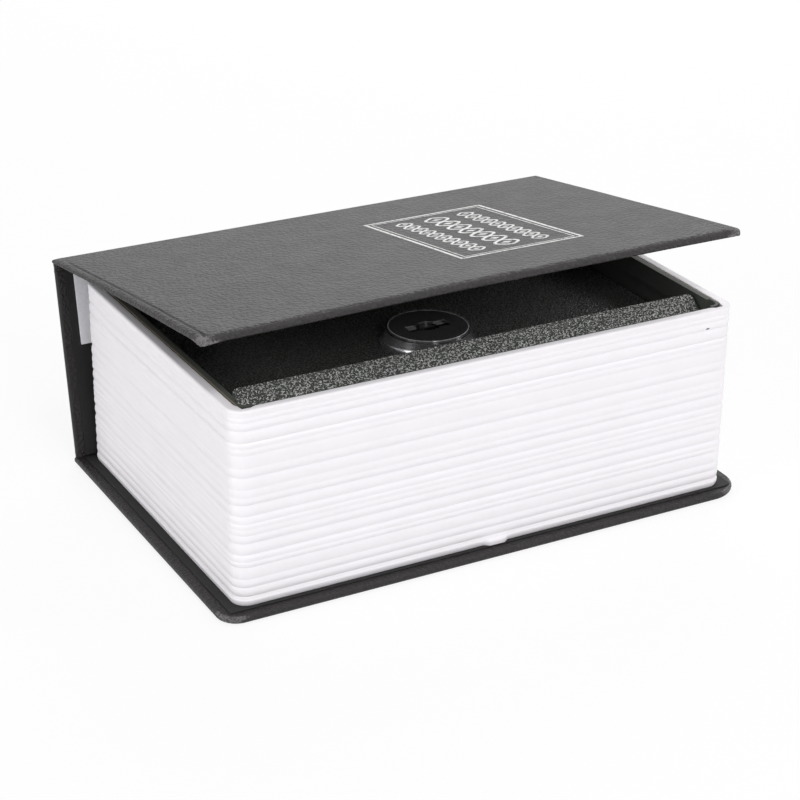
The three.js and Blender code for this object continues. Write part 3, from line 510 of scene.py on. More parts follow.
# Each finish: its material's name and how that is made
FINISHES = {
    "cover_cloth": ("grained_leatherette", leatherette),
    "greyboard": ("grey_bookbinding_board",
                  lambda name: fibre_sheet(name, srgb("#8d8376"), 0.9, 1.1 * MM, 0.08 * MM, 0.2)),
    "endpaper": ("black_lining_paper",
                 lambda name: fibre_sheet(name, srgb("#151415"), 0.8, 0.7 * MM, 0.02 * MM, 0.2)),
    "strip_card": ("white_card", lambda name: fibre_sheet(name, srgb("#f1f1f5"), 0.6, 0.8 * MM, 0.01 * MM, 0.04)),
    "page_plastic": ("moulded_polypropylene", page_plastic),
    "tray_steel": ("wrinkle_powder_coat", wrinkle_coat),
    "zinc_plate": ("bright_zinc_plate", lambda name: plated_metal(name, srgb("#c4c8cc"), 0.3, 0.5 * MM)),
    "skirt_metal": ("satin_nickel", satin_nickel),
    "cap_plastic": ("polished_black_abs", gloss_cap),
    "lock_brass": ("turned_brass", turned_brass),
    "foil": ("hot_stamped_foil", stamped_foil),
}


def material_for(finish):
    """The material of a finish, made when it is first asked for."""
    name, make = FINISHES[finish]
    if name not in bpy.data.materials:
        make(name)
    return bpy.data.materials[name]


# Meshes
def link_mesh(name, mesh, finish, sharp=35):
    """A new object in the scene for a mesh, smooth but for edges sharper than an angle."""
    mesh.name = name
    mesh.materials.clear()
    mesh.materials.append(material_for(finish))
    mesh.polygons.foreach_set("material_index", [0] * len(mesh.polygons))
    smooth_shaded(mesh, sharp)
    made = bpy.data.objects.new(name, mesh)
    bpy.context.scene.collection.objects.link(made)
    return made


def smooth_shaded(mesh, sharp):
    """Shades a mesh smooth but for edges sharper than an angle."""
    mesh.shade_smooth()
    mesh.set_sharp_from_angle(angle=math.radians(sharp))


def dress(made, body, finish, *nodes):
    """Fixes a finished piece to a body in place of CAD nodes."""
    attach(made, body)
    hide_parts(*nodes)


def plain_mesh(name, vertices, faces):
    """A mesh of vertices and faces."""
    mesh = bpy.data.meshes.new(name)
    mesh.from_pydata([tuple(v) for v in vertices], [], faces)
    mesh.update()
    return mesh


@contextmanager
def opened(mesh):
    """A mesh opened for editing and written back at the end."""
    shell = bmesh.new()
    shell.from_mesh(mesh)
    yield shell
    shell.to_mesh(mesh)
    shell.free()


def face_outwards(mesh, merge=1e-7):
    """Merges doubles and turns the faces of a closed mesh outwards."""
    with opened(mesh) as shell:
        bmesh.ops.remove_doubles(shell, verts=shell.verts, dist=merge)
        bmesh.ops.recalc_face_normals(shell, faces=shell.faces)
    return mesh


def add_attribute(mesh, name, values):
    """Gives a mesh one number, or one vector, for each vertex."""
    if hasattr(values[0], "__len__"):
        layer = mesh.attributes.new(name, "FLOAT_VECTOR", "POINT")
        layer.data.foreach_set("vector", [c for v in values for c in v])
    else:
        mesh.attributes.new(name, "FLOAT", "POINT").data.foreach_set("value", values)


def settle(obj):
    """Replaces an object's mesh by its evaluated one, with no modifier left."""
    graph = bpy.context.evaluated_depsgraph_get()
    mesh = bpy.data.meshes.new_from_object(obj.evaluated_get(graph), depsgraph=graph)
    obj.modifiers.clear()
    obj.data = mesh


def shape(obj, kind, **options):
    """Runs a modifier with its options on an object and leaves the plain mesh."""
    modifier = obj.modifiers.new(kind.lower(), kind)
    for name, value in options.items():
        setattr(modifier, name, value)
    settle(obj)


def merged_copy(node):
    """A CAD node's mesh with its triangles joined and its flat faces whole."""
    mesh = frame["nodes"][node].data.copy()
    with opened(mesh) as shell:
        bmesh.ops.remove_doubles(shell, verts=shell.verts, dist=1e-6)
        bmesh.ops.dissolve_limit(shell, angle_limit=math.radians(0.4), verts=shell.verts, edges=shell.edges)
    return mesh


def softened(node, ending, finish, body, radius):
    """A copy of a CAD node with its edges rounded, which stands for the node."""
    sharp = 35
    made = link_mesh(node + ending, merged_copy(node), finish, sharp)
    shape(made, "BEVEL", width=radius, segments=2, limit_method="ANGLE", angle_limit=math.radians(sharp),
          harden_normals=True)
    dress(made, body, finish, node)
    return made


def bridge(lower, upper, closed=True):
    """Faces between two rows of vertices, with no corner twice."""
    faces = []
    for k in range(len(lower) if closed else len(lower) - 1):
        following = (k + 1) % len(lower)
        faces.append(tuple(dict.fromkeys((lower[k], lower[following], upper[following], upper[k]))))
    return faces


def bands(rows, closed=True):
    """Faces between each row of vertices and the next."""
    return [face for lower, upper in zip(rows, rows[1:]) for face in bridge(lower, upper, closed)]


def arc(steps, first=0):
    """Sine and cosine of the steps of a quarter turn."""
    angles = [math.pi / 2 * k / steps for k in range(first, steps + 1)]
    return [(math.sin(angle), math.cos(angle)) for angle in angles]


def circle(radius, sides=64):
    """Places round a circle."""
    angles = [2 * math.pi * k / sides for k in range(sides)]
    return [(radius * math.cos(angle), radius * math.sin(angle)) for angle in angles]


def turned_mesh(name, profile, sides=96):
    """A mesh turned from a profile of radius and height round the lock's axis; it starts and ends on the axis,
    or closes on itself."""
    vertices, rows = [], []
    for radius, height in profile:
        points = circle(radius, sides) if radius else [(0, 0)]
        start = len(vertices)
        rows.append(range(start, start + sides) if radius else [start] * sides)
        vertices += [(LOCK_PLACE.x + x, LOCK_PLACE.y + y, height) for x, y in points]
    if profile[0][0]:
        rows.append(rows[0])
    return face_outwards(plain_mesh(name, vertices, bands(rows)))


def round_over(centre_radius, centre_height, radius, start, end, steps):
    """Profile points of an arc, its angles in degrees from straight outwards."""
    angles = [math.radians(start + (end - start) * k / steps) for k in range(steps + 1)]
    return [(centre_radius + radius * math.cos(angle), centre_height + radius * math.sin(angle)) for angle in angles]


# Geometry Nodes
def new_tree(name, sockets):
    """An empty geometry tree and the outputs of its inputs; each socket is its name, type and default."""
    tree = bpy.data.node_groups.new(name, "GeometryNodeTree")
    tree.interface.new_socket("Geometry", in_out="INPUT", socket_type="NodeSocketGeometry")
    for label, kind, default in sockets:
        tree.interface.new_socket(label, in_out="INPUT", socket_type=kind).default_value = default
    tree.interface.new_socket("Material", in_out="INPUT", socket_type="NodeSocketMaterial")
    tree.interface.new_socket("Geometry", in_out="OUTPUT", socket_type="NodeSocketGeometry")
    return tree, tree.nodes.new("NodeGroupInput").outputs


def end_tree(tree, geometry, material):
    """Realizes what the tree made, gives it the material and hands it out."""
    real = add_node(tree, "GeometryNodeRealizeInstances", {"Geometry": geometry})
    painted = add_node(tree, "GeometryNodeSetMaterial", {"Geometry": real, "Material": material})
    add_node(tree, "NodeGroupOutput", {"Geometry": painted})
    return tree


def run_tree(tree, base, finish, values=None):
    """Runs a tree on a mesh with a finish and values for its named inputs, and returns the plain mesh."""
    values = {**(values or {}), "Material": material_for(finish)}
    host = bpy.data.objects.new("tree_host", base)
    bpy.context.scene.collection.objects.link(host)
    modifier = host.modifiers.new("tree", "NODES")
    modifier.node_group = tree
    for item in tree.interface.items_tree:
        if item.in_out == "INPUT" and item.name in values:
            modifier[item.identifier] = values[item.name]
    settle(host)
    mesh = host.data
    bpy.data.objects.remove(host)
    return mesh


def points_mesh(name, places, **attributes):
    """A mesh of bare points with attributes."""
    mesh = plain_mesh(name, places, [])
    for key, values in attributes.items():
        add_attribute(mesh, key, values)
    return mesh


# Covered boards
def graded(low, high, length):
    """Shares of a length from low to high, close together within a margin of either end."""
    margin = FINE_MARGIN / length
    inner = high - low - 2 * margin
    edge = max(1, round(margin / (FINE_STEP / length)))
    middle = max(1, round(inner / (COARSE_STEP / length)))
    places = [low + margin * k / edge for k in range(edge)]
    places += [low + margin + inner * k / middle for k in range(middle)]
    places += [high - margin + margin * k / edge for k in range(edge + 1)]
    return places


def smooth(value):
    """A value held between 0 and 1, with both ends eased."""
    value = min(max(value, 0), 1)
    return value * value * (3 - 2 * value)


@dataclass
class CoveredBoard:
    """A board of the case: u runs along the spine, v from its hinged edge and t inward from its cloth face. Its free
    corners at the tail and the head have radii, its edges are rubbed by use and on the rolls also painted paler as a
    painted highlight, and shade is painted on the cloth of its rolls and turn-ins."""

    name: str
    body: str
    width: float
    corners: tuple
    origin: Vector
    across: Vector
    inward: Vector
    use: float = 1.0
    # How dark the rolls and turn-ins are painted, as painted shade
    shade: float = 0.0

    def bend(self, u, v):
        """How far the board is bent inward at a place."""
        return 0.0

    def thinning(self, u, v):
        """The share of its thickness that the board loses at a place."""
        return 0.0

    def crease(self, u, v):
        """How deeply the face is pressed in beside an edge, from 0 to 1; the cloth is painted as dark as this, as
        painted shade in the crease.
        """
        return 0.0

    def place(self, u, v, t):
        """The point in space of a place on the board."""
        depth = t * (1 - self.thinning(u, v)) + self.bend(u, v)
        return self.origin + Vector((u, 0, 0)) + self.across * v + self.inward * depth

    def local(self, point):
        """The place on the flat board of a point in space."""
        offset = point - self.origin
        return offset.x, offset.dot(self.across), offset.dot(self.inward)

    def corner_radius(self, u):
        """The radius of the free corner at the tail or the head."""
        return self.corners[0] if u < 0 else self.corners[1]

    def outline(self, u_share, v_share, inset):
        """A place in the board's outline drawn in by an inset: shares run from -1 to 1 and from 0 to 1."""
        hinge_inset = min(inset, HINGE_ROLL) if inset < EDGE_ROLL + 0.01 * MM else inset
        if not self.corners[0]:
            inset = hinge_inset
        u = u_share * (HALF_LENGTH - inset)
        v = hinge_inset + v_share * (self.width - inset - hinge_inset)
        radius = max(self.corner_radius(u) - inset, 0.02 * MM)
        p = (abs(u) - (HALF_LENGTH - inset - radius)) / radius
        q = (v - (self.width - inset - radius)) / radius
        if self.corners[0] and p > 0 and q > 0:
            u = math.copysign(HALF_LENGTH - inset - radius + radius * p * math.sqrt(1 - q * q / 2), u)
            v = self.width - inset - radius + radius * q * math.sqrt(1 - p * p / 2)
        return u, v

    def held_in(self, u, v, inset):
        """A place moved, if it must be, to lie within the rounded free corners drawn in by an inset."""
        radius = self.corner_radius(u)
        centre = Vector((math.copysign(HALF_LENGTH - radius, u), self.width - radius))
        reach = Vector((u, v)) - centre
        if reach.x * u > 0 and reach.y > 0 and reach.length > radius - inset:
            reach = reach.normalized() * (radius - inset)
            return centre.x + reach.x, centre.y + reach.y
        return u, v

    def corner_nearness(self, u, v):
        """1 at a free corner, falling to 0 at the pleats' reach."""
        if not self.corners[0]:
            return 0.0
        distance = math.hypot(HALF_LENGTH - abs(u), self.width - v) - 0.3 * self.corner_radius(u)
        return smooth(1 - distance / PLEAT_REACH)

    def off_diagonal(self, u, v):
        """How far a place lies from the line that halves its free corner."""
        return (abs(u) - (v - self.width + HALF_LENGTH)) / math.sqrt(2)

    def pleat(self, u, v, depth_share):
        """How far the gathered cloth stands out at a corner, most at the inner edge of the roll."""
        turn = 2 * math.pi * self.off_diagonal(u, v) / PLEAT_PITCH + 2.1 * math.copysign(1, u)
        return PLEAT_HEIGHT * self.corner_nearness(u, v) * (0.2 + 0.5 * math.cos(turn)) * depth_share

    def seam(self, u, v, inset):
        """How far the turned-in cloth stands up where its two flaps meet at a corner."""
        if inset <= 1 * MM:
            return 0
        across = abs(self.off_diagonal(u, v)) / SEAM_WIDTH
        return SEAM_HEIGHT * self.corner_nearness(u, v) * math.exp(-across ** 2)

    def wrap_mesh(self):
        """The cloth: its face, the rolls round the edges and the turn-ins glued to the back of the board."""
        across_u, across_v = graded(-1, 1, HALF_LENGTH), graded(0, 1, self.width)
        columns, rows = len(across_u), len(across_v)
        vertices, wear, soil = [], [], []
        for v_share in across_v:
            for u_share in across_u:
                u, v = self.outline(u_share, v_share, EDGE_ROLL)
                pressed = self.crease(u, v)
                vertices.append(self.place(u, v, pressed * CREASE_DEPTH))
                # Painted shade in the crease: the deeper it is pressed, the darker it is painted
                soil.append(pressed)
                wear.append(FACE_RUB * smooth(1 - min(HALF_LENGTH - abs(u), self.width - v, v) / FACE_RUB_WIDTH))
        faces = bands([range(j * columns, (j + 1) * columns) for j in range(rows)], closed=False)
        border = [(k, 0) for k in range(columns)] + [(columns - 1, j) for j in range(1, rows)]
        border += [(k, rows - 1) for k in range(columns - 2, -1, -1)] + [(0, j) for j in range(rows - 2, 0, -1)]
        sections = [(EDGE_ROLL * (1 - sine), ROLL_DEPTH * (1 - cosine), OUTER_RUB_AND_HIGHLIGHT) for sine, cosine in arc(7, 1)]
        sections += [(INNER_ROLL * (1 - cosine), WRAP_THICKNESS - INNER_ROLL * (1 - sine), INNER_RUB_AND_HIGHLIGHT)
                     for sine, cosine in arc(4)]
        sections += [(inset, WRAP_THICKNESS, TURN_IN_RUB) for inset in TURN_IN_STEPS]
        previous = [j * columns + k for k, j in border]
        for inset, depth, paler_share in sections:
            ring = range(len(vertices), len(vertices) + len(border))
            for k, j in border:
                u, v = self.outline(across_u[k], across_v[j], inset)
                outwards = Vector((u, v - self.width / 2)).normalized()
                outwards *= self.pleat(u, v, depth / WRAP_THICKNESS if inset < 2 * MM else 0)
                vertices.append(self.place(u + outwards.x, v + outwards.y, depth + self.seam(u, v, inset)))
                # Paleness from use, and on the rolls a painted highlight
                wear.append(min(1, paler_share * self.use * (
                    RUB_ALONG_EDGE + RUB_MORE_AT_CORNER * self.corner_nearness(u, v))))
                # Painted shade on the rolls and turn-ins
                soil.append(self.shade)
            faces += bridge(ring, previous)
            previous = ring
        if self.across.cross(self.inward).x > 0:
            faces = [face[::-1] for face in faces]
        mesh = plain_mesh(self.name + "_wrap", vertices, faces)
        add_attribute(mesh, "wear", wear)
        add_attribute(mesh, "soil", soil)
        return mesh

    def make_wrap(self):
        """Wraps the board in cloth, in place of its CAD cloth."""
        made = link_mesh(self.name + "_wrap", self.wrap_mesh(), "cover_cloth", 60)
        shape(made, "SOLIDIFY", thickness=CLOTH, offset=-1)
        dress(made, self.body, "cover_cloth", self.name + "_cloth")

    def bent_copy(self, part, finish):
        """A copy of one of the board's flat CAD pieces, cut into a grid and bent with the board."""
        node = f"{self.name}_{part}"
        mesh = merged_copy(node)
        side = round(HALF_LENGTH / BOARD_CUTS)
        cuts = [(Vector((1, 0, 0)), Vector((k * BOARD_CUTS, 0, 0))) for k in range(1 - side, side)]
        cuts += [(self.across, self.origin + self.across * (k * BOARD_CUTS))
                 for k in range(1, int(self.width / BOARD_CUTS) + 1)]
        with opened(mesh) as shell:
            for normal, point in cuts:
                everything = [*shell.verts, *shell.edges, *shell.faces]
                bmesh.ops.bisect_plane(shell, geom=everything, plane_co=point, plane_no=normal, dist=1e-7)
            for vertex in shell.verts:
                u, v, t = self.local(vertex.co)
                vertex.co = self.place(*self.held_in(u, v, 0.6 * MM), t)
        dress(link_mesh(node + "_shaped", mesh, finish), self.body, finish, node)


class FrontBoard(CoveredBoard):
    """The front cover, warped a little, with its tail corner at the fore edge hanging and a crease along its tail."""

    def crease(self, u, v):
        """A line beside the tail edge that strays a little and fades out at the hinge. Painted shade darkens the cloth
        along it.
        """
        stray = CREASE_STRAY * noise.noise(Vector((v / CREASE_STRAY_LENGTH, 0, 7.1)))
        return math.exp(-((u + HALF_LENGTH - CREASE_PLACE - stray) / CREASE_WIDTH) ** 2) * smooth(v / CREASE_FADE)

    def thinning(self, u, v):
        """The tail edge is thin, most so near the hinge."""
        return smooth(1 - (u + HALF_LENGTH) / THIN_EDGE) * (THIN_AT_HINGE - THIN_LOST_AT_FORE * smooth(v / self.width))

    def bend(self, u, v):
        """A soft droop towards the tail corner at the fore edge, more at its very tip, and a slight warp."""
        drop = settings().cover.corner_droop
        across = v / self.width
        along = (u + HALF_LENGTH) / (2 * HALF_LENGTH)
        droop = drop * smooth((across - 0.45) / 0.55) * smooth((0.5 - along) / 0.5)
        tip = math.hypot(u + HALF_LENGTH, self.width - v)
        hang = TIP_SHARE * drop * math.exp(-(tip / HANGING_TIP) ** 2)
        warp = WARP * noise.noise(Vector((u / WARP_ALONG, v / WARP_ACROSS, 4.2)))
        return droop + hang + warp * smooth(across / 0.25)


BACK = CoveredBoard("back", "back_case", COVER_WIDTH, (BACK_CORNER_TAIL, BACK_CORNER_HEAD),
                    Vector((0, SPINE_FOOT.y, 0)), Vector((0, -1, 0)), Vector((0, 0, 1)), shade=0.22)
SPINE = CoveredBoard("spine", "spine", SPINE_WIDTH, (0, 0), SPINE_FOOT + RISE * HINGE_GAP, RISE, -OUTWARD,
                     use=0.3, shade=0.3)
FRONT = FrontBoard("front", "front_cover", COVER_WIDTH, (FRONT_CORNER, FRONT_CORNER),
                   SPINE_TOP + RISE * PANEL_THICKNESS, -OUTWARD, -RISE)


class BOOKSAFE_OT_covered_boards(bpy.types.Operator):
    """Wraps the three boards of the case in leatherette and lines them"""

    bl_idname = "booksafe.covered_boards"
    bl_label = "Covered boards"

    def execute(self, context):
        for board in (BACK, SPINE, FRONT):
            board.make_wrap()
        for board in (BACK, FRONT):
            board.bent_copy("board", "greyboard")
            board.bent_copy("lining", "endpaper")
        for node, finish in (("spine_board", "greyboard"), ("spine_lining", "endpaper"), ("spine_strip", "strip_card")):
            for place in frame["nodes"][node].material_slots:
                place.material = material_for(finish)
        return {"FINISHED"}


# Half of a joint's section: the way along a face from the hinge, and the depth under it
JOINT_SECTION = [Vector(step) * MM for step in (
    (2.1, 0.4), (1.7, 0.16), (1.3, 0.06), (0.9, 0.1), (0.5, 0.2), (0.15, 0.3))]
JOINT_COLUMNS = 60
JOINT_END_GAP = 0.3 * MM


def cloth_joint(name, hinge, lower, upper):
    """A strip of the cover cloth across a joint: it starts under one wrap, dips over the hinge and ends under the
    next. Lower and upper are the ways along the two outer faces, away from the hinge."""
    path = [hinge + lower * reach - OUTWARD * depth for reach, depth in JOINT_SECTION]
    path += [hinge + upper * reach - OUTWARD * depth for reach, depth in reversed(JOINT_SECTION)]
    half = HALF_LENGTH - JOINT_END_GAP
    count = JOINT_COLUMNS + 1
    vertices = [point + Vector((half * (2 * k / JOINT_COLUMNS - 1), 0, 0)) for point in path for k in range(count)]
    rows = [range(j * count, (j + 1) * count) for j in range(len(path))]
    made = link_mesh(name, plain_mesh(name, vertices, bands(rows[::-1], closed=False)), "cover_cloth", 60)
    shape(made, "SOLIDIFY", thickness=3 * CLOTH, offset=-1)
    add_attribute(made.data, "wear", [0.3] * len(made.data.vertices))
    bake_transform(made)


class BOOKSAFE_OT_cloth_joints(bpy.types.Operator):
    """Carries the cover cloth across the two joints of the case"""

    bl_idname = "booksafe.cloth_joints"
    bl_label = "Cloth joints"

    def execute(self, context):
        cloth_joint("back_joint_cloth", SPINE_FOOT, Vector((0, 0, -1)), RISE)
        cloth_joint("front_joint_cloth", SPINE_TOP, -RISE, RISE)
        return {"FINISHED"}


# Foil ornament on the front cover: a band's row off the middle, its swing, lozenges and line width
FOIL_LIFT = 0.04 * MM
FRAME_TAIL, FRAME_HEAD = 5.5 * MM, 48.8 * MM
FRAME_REAR, FRAME_FORE = 29.4 * MM, 93.4 * MM
OUTER_LINE = 1.0 * MM
INNER_LINE = 0.45 * MM
LINE_GAP = 1.2 * MM
BAND_MARGIN = 6.5 * MM
BANDS = (
    (0, 4.0 * MM, 7, 1.1 * MM), (-11.3 * MM, 2.7 * MM, 10, 0.9 * MM), (11.3 * MM, 2.7 * MM, 10, 0.9 * MM),
)


def foil_strip(path, width):
    """Vertices and faces of a flat strip along a path of u, v places on the front cover."""
    vertices = []
    for k, place in enumerate(path):
        before, after = path[max(k - 1, 0)], path[min(k + 1, len(path) - 1)]
        along = Vector((after[0] - before[0], after[1] - before[1])).normalized()
        side = Vector((-along.y, along.x)) * (width / 2)
        vertices += [(place[0] - side.x, place[1] - side.y), (place[0] + side.x, place[1] + side.y)]
    return vertices, bands([(2 * k, 2 * k + 1) for k in range(len(path))], closed=False)


def straight(start, end, steps=24):
    """Places along a straight line."""
    return [(start[0] + (end[0] - start[0]) * k / steps, start[1] + (end[1] - start[1]) * k / steps)
            for k in range(steps + 1)]


def frame_lines(inset, width):
    """Four sides of a rectangular line."""
    low = (FRAME_TAIL + inset, FRAME_REAR + inset)
    high = (FRAME_HEAD - inset, FRAME_FORE - inset)
    half = width / 2
    sides = [((u, low[1] - half), (u, high[1] + half)) for u in (low[0], high[0])]
    sides += [((low[0] + half, v), (high[0] - half, v)) for v in (low[1], high[1])]
    return [foil_strip(straight(start, end), width) for start, end in sides]


def wave_band(row, low, high, swing, pitch, width):
    """Two crossing waves along the cover's width, as on a chain border."""
    count = int((high - low) / (pitch / 12))
    across = [low + (high - low) * k / count for k in range(count + 1)]
    return [foil_strip([(row + swing * math.sin(2 * math.pi * (v - low) / pitch + phase), v) for v in across], width)
            for phase in (0, math.pi)]


def lozenge_tree():
    """Stamps a lozenge on every point, as large as the point's size says."""
    tree, given = new_tree("lozenge row", (("Slimness", "NodeSocketFloat", 0.62),))
    lozenge = add_node(tree, "GeometryNodeMeshCircle", {"Vertices": 4, "Radius": 1}, fill_type="NGON")
    slim = add_node(tree, "ShaderNodeCombineXYZ", {0: 1, 1: given["Slimness"], 2: 1})
    narrow = add_node(tree, "transform", {"Geometry": lozenge, "Scale": slim})
    stamped = add_node(tree, "instances", {
        "Points": given["Geometry"], "Instance": narrow, "Scale": add_node(tree, "mesh attribute", "size")})
    return end_tree(tree, stamped, given["Material"])


class BOOKSAFE_OT_foil_ornament(bpy.types.Operator):
    """Stamps a double line frame with three bands of ornament on the front cover"""

    bl_idname = "booksafe.foil_ornament"
    bl_label = "Foil ornament"

    def execute(self, context):
        strips = frame_lines(OUTER_LINE / 2, OUTER_LINE) + frame_lines(OUTER_LINE + LINE_GAP, INNER_LINE)
        middle = (FRAME_TAIL + FRAME_HEAD) / 2
        low, high = FRAME_REAR + BAND_MARGIN, FRAME_FORE - BAND_MARGIN
        places, sizes = [], []
        for off_middle, swing, count, line in BANDS:
            row = middle + off_middle
            pitch = 2 * (high - low) / count
            strips += wave_band(row, low, high, swing, pitch, line)
            places += [(row, low + pitch * (k + 0.5) / 2, 0) for k in range(count)]
            sizes += [0.5 * swing] * count
        mesh = run_tree(lozenge_tree(), points_mesh("lozenge places", places, size=sizes), "foil")
        with opened(mesh) as sheet:
            for corners, faces in strips:
                added = [sheet.verts.new((*place, 0)) for place in corners]
                for face in faces:
                    sheet.faces.new([added[k] for k in face])
            bmesh.ops.recalc_face_normals(sheet, faces=sheet.faces)
            for vertex in sheet.verts:
                vertex.co = FRONT.place(vertex.co.x, vertex.co.y, -FOIL_LIFT)
            for face in sheet.faces:
                if face.normal.dot(RISE) < 0:
                    face.normal_flip()
        made = link_mesh("foil_ornament", mesh, "foil")
        shape(made, "SOLIDIFY", thickness=FOIL_LIFT, offset=-1)
        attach(made, "front_cover")
        return {"FINISHED"}


# Page moulding
def ring_stations():
    """Where a ring round the moulding has its points: a side's share and an angle, from the front tail corner on."""
    stations = []
    for side, (count, start) in enumerate(SIDE_STATIONS):
        stations += [(side, k / count, None) for k in range(1, count)]
        stations += [(side, 1, start + 90 * k / CORNER_STEPS) for k in range(CORNER_STEPS + 1)]
    return stations


def ring_point(station, low, high, front_radius, rear_radius):
    """The place of a station on a rounded rectangle, and the way out of it."""
    side, share, angle = station
    following = (side + 1) % 4
    radii = (front_radius, front_radius, rear_radius, rear_radius)
    corners = [Vector((x, y, 0)) for x, y in ((low.x, low.y), (high.x, low.y), (high.x, high.y), (low.x, high.y))]
    ways = [Vector(way) for way in ((1, 0, 0), (0, 1, 0), (-1, 0, 0), (0, -1, 0))]
    start, end, way = corners[side], corners[following], ways[side]
    if angle is None:
        straight_length = (end - start).length - radii[side] - radii[following]
        return start + way * (radii[side] + straight_length * share), Vector((way.y, -way.x, 0))
    centre = end + (ways[following] - way) * radii[following]
    out = Vector((math.cos(math.radians(angle)), math.sin(math.radians(angle)), 0))
    return centre + out * radii[following], out


def rib_levels():
    """Heights up the moulding with how deep the groove is at each, from 0 on a crest to 1 in the deepest groove."""
    levels = []
    top, above = PAGE_HIGH.z, TOP_GROOVE
    for leaves, below in zip(RIB_LEAVES, GROOVE_SHARES):
        foot = max(top - leaves * LEAF, PAGE_LOW.z)
        for share in RIB_STATIONS:
            edge = above if share < 0.5 else below
            height = top + (foot - top) * share
            stria = STRIA * (1 + noise.noise(Vector((0.5, 0.5, height / STRIA_PITCH))))
            levels.append((height, edge * abs(2 * share - 1) ** RIB_SHAPE + stria))
        top, above = foot, below
    levels.append((PAGE_LOW.z, above))
    return [level for level in levels if level[0] < PAGE_HIGH.z - RIM_ROLL]


def rib_tree():
    """Presses the grooves into the plain wall and lets each crest stray a little."""
    pages = settings().pages
    tree, given = new_tree("page ribs", (
        ("Groove Depth", "NodeSocketFloat", pages.groove_depth), ("Wander", "NodeSocketFloat", pages.wander),
        ("Wander Length", "NodeSocketFloat", WANDER_LENGTH), ("Seed", "NodeSocketFloat", pages.seed)))
    per_metre = add_node(tree, "ShaderNodeMath", {0: 1, 1: given["Wander Length"]}, operation="DIVIDE")
    stretched = add_node(tree, "vector product", add_node(tree, "GeometryNodeInputPosition"), (1, 1, 9))
    stray = add_node(tree, "noise", {"Vector": stretched, "W": given["Seed"], "Scale": per_metre, "Detail": 1},
                     noise_dimensions="4D")
    pressed = add_node(tree, "product", add_node(tree, "mesh attribute", "relief"), given["Groove Depth"])
    strayed = add_node(tree, "ShaderNodeMath", {0: stray, 1: given["Wander"], 2: pressed}, operation="MULTIPLY_ADD")
    shown = add_node(tree, "product", strayed, add_node(tree, "mesh attribute", "ribbed"))
    outward = add_node(tree, "mesh attribute", "outward", data_type="FLOAT_VECTOR")
    step = add_node(tree, "scaled vector", add_node(tree, "vector product", outward, (-1, -1, -1)), shown)
    moved = add_node(tree, "GeometryNodeSetPosition", {"Geometry": given["Geometry"], "Offset": step})
    return end_tree(tree, moved, given["Material"])


def pages_base():
    """The moulding before its ribs are pressed: every ring of the wall, rim, pocket, ledge and foot. Each point is
    its place, the way out, its relief and how strongly it is ribbed."""
    low = Vector((PAGE_LOW.x, PAGE_LOW.y + GATE_DEPTH, 0))
    high = Vector((PAGE_HIGH.x, PAGE_HIGH.y, 0))
    pocket_low = Vector((low.x + SIDE_WALL, low.y + FRONT_WALL, 0))
    pocket_high = Vector((high.x - SIDE_WALL, high.y - REAR_WALL, 0))
    relief_end = pocket_high.x - RELIEF_INSET
    gate_top = PAGE_LOW.z + GATE_HEIGHT
    relief_foot = PAGE_HIGH.z - RELIEF_DROP
    ledge_top = PAGE_LOW.z + LEDGE_THICKNESS
    stations = ring_stations()

    def outer(height, inset, relief, ribbed):
        """A ring of the outside, plain at the rear, with the gate's nub at the foot of the front."""
        ring = []
        for station in stations:
            place, out = ring_point(station, low, high, PAGE_CORNER, REAR_CORNER)
            fade = smooth((1 - out.y) / REAR_FADE)
            place -= out * inset
            in_gate = height < gate_top and abs(place.x - GATE_CENTRE) < GATE_WIDTH / 2
            if in_gate and out.y < -0.99:
                place.y -= GATE_DEPTH
            ring.append(((place.x, place.y, height), out, relief * fade, 0 if in_gate else ribbed * fade))
        return ring

    def inner(height, inset, is_ledge=False):
        """A ring of the pocket or its ledge, with the two relief pockets at the front corners."""
        ring = []
        reach = LEDGE_WIDTH if is_ledge else 0
        draw_in = Vector((reach - inset, reach - inset, 0))
        radius = max(POCKET_CORNER + inset - reach, 0.1 * MM)
        for station in stations:
            place, out = ring_point(station, pocket_low + draw_in, pocket_high - draw_in, radius, radius)
            if (not is_ledge and height > relief_foot and relief_end - RELIEF_WIDTH < abs(place.x) < relief_end
                    and place.y < pocket_low.y + POCKET_CORNER):
                place.y = pocket_low.y - RELIEF_DEPTH
            ring.append(((place.x, place.y, height), out, 0, 0))
        return ring

    rings = []
    for height, relief in reversed(rib_levels()):
        rings.append(outer(height, 0, relief, 1))
        if abs(height - gate_top) < 0.3 * MM:
            rings.append(outer(gate_top + 0.31 * MM, 0, relief, 1))
    rings.sort(key=lambda ring: ring[0][0][2])
    rings += [outer(PAGE_HIGH.z - RIM_ROLL * (1 - sine), RIM_ROLL * (1 - cosine), 0.03, 0.3) for sine, cosine in arc(5)]
    rings += [inner(PAGE_HIGH.z - INNER_RIM_ROLL * (1 - cosine), INNER_RIM_ROLL * (1 - sine))
              for sine, cosine in arc(4)]
    rings += [inner(height, 0) for height in (relief_foot + 0.05 * MM, relief_foot - 0.05 * MM, ledge_top)]
    return rings + [inner(ledge_top, 0, True), inner(PAGE_LOW.z, 0, True)]


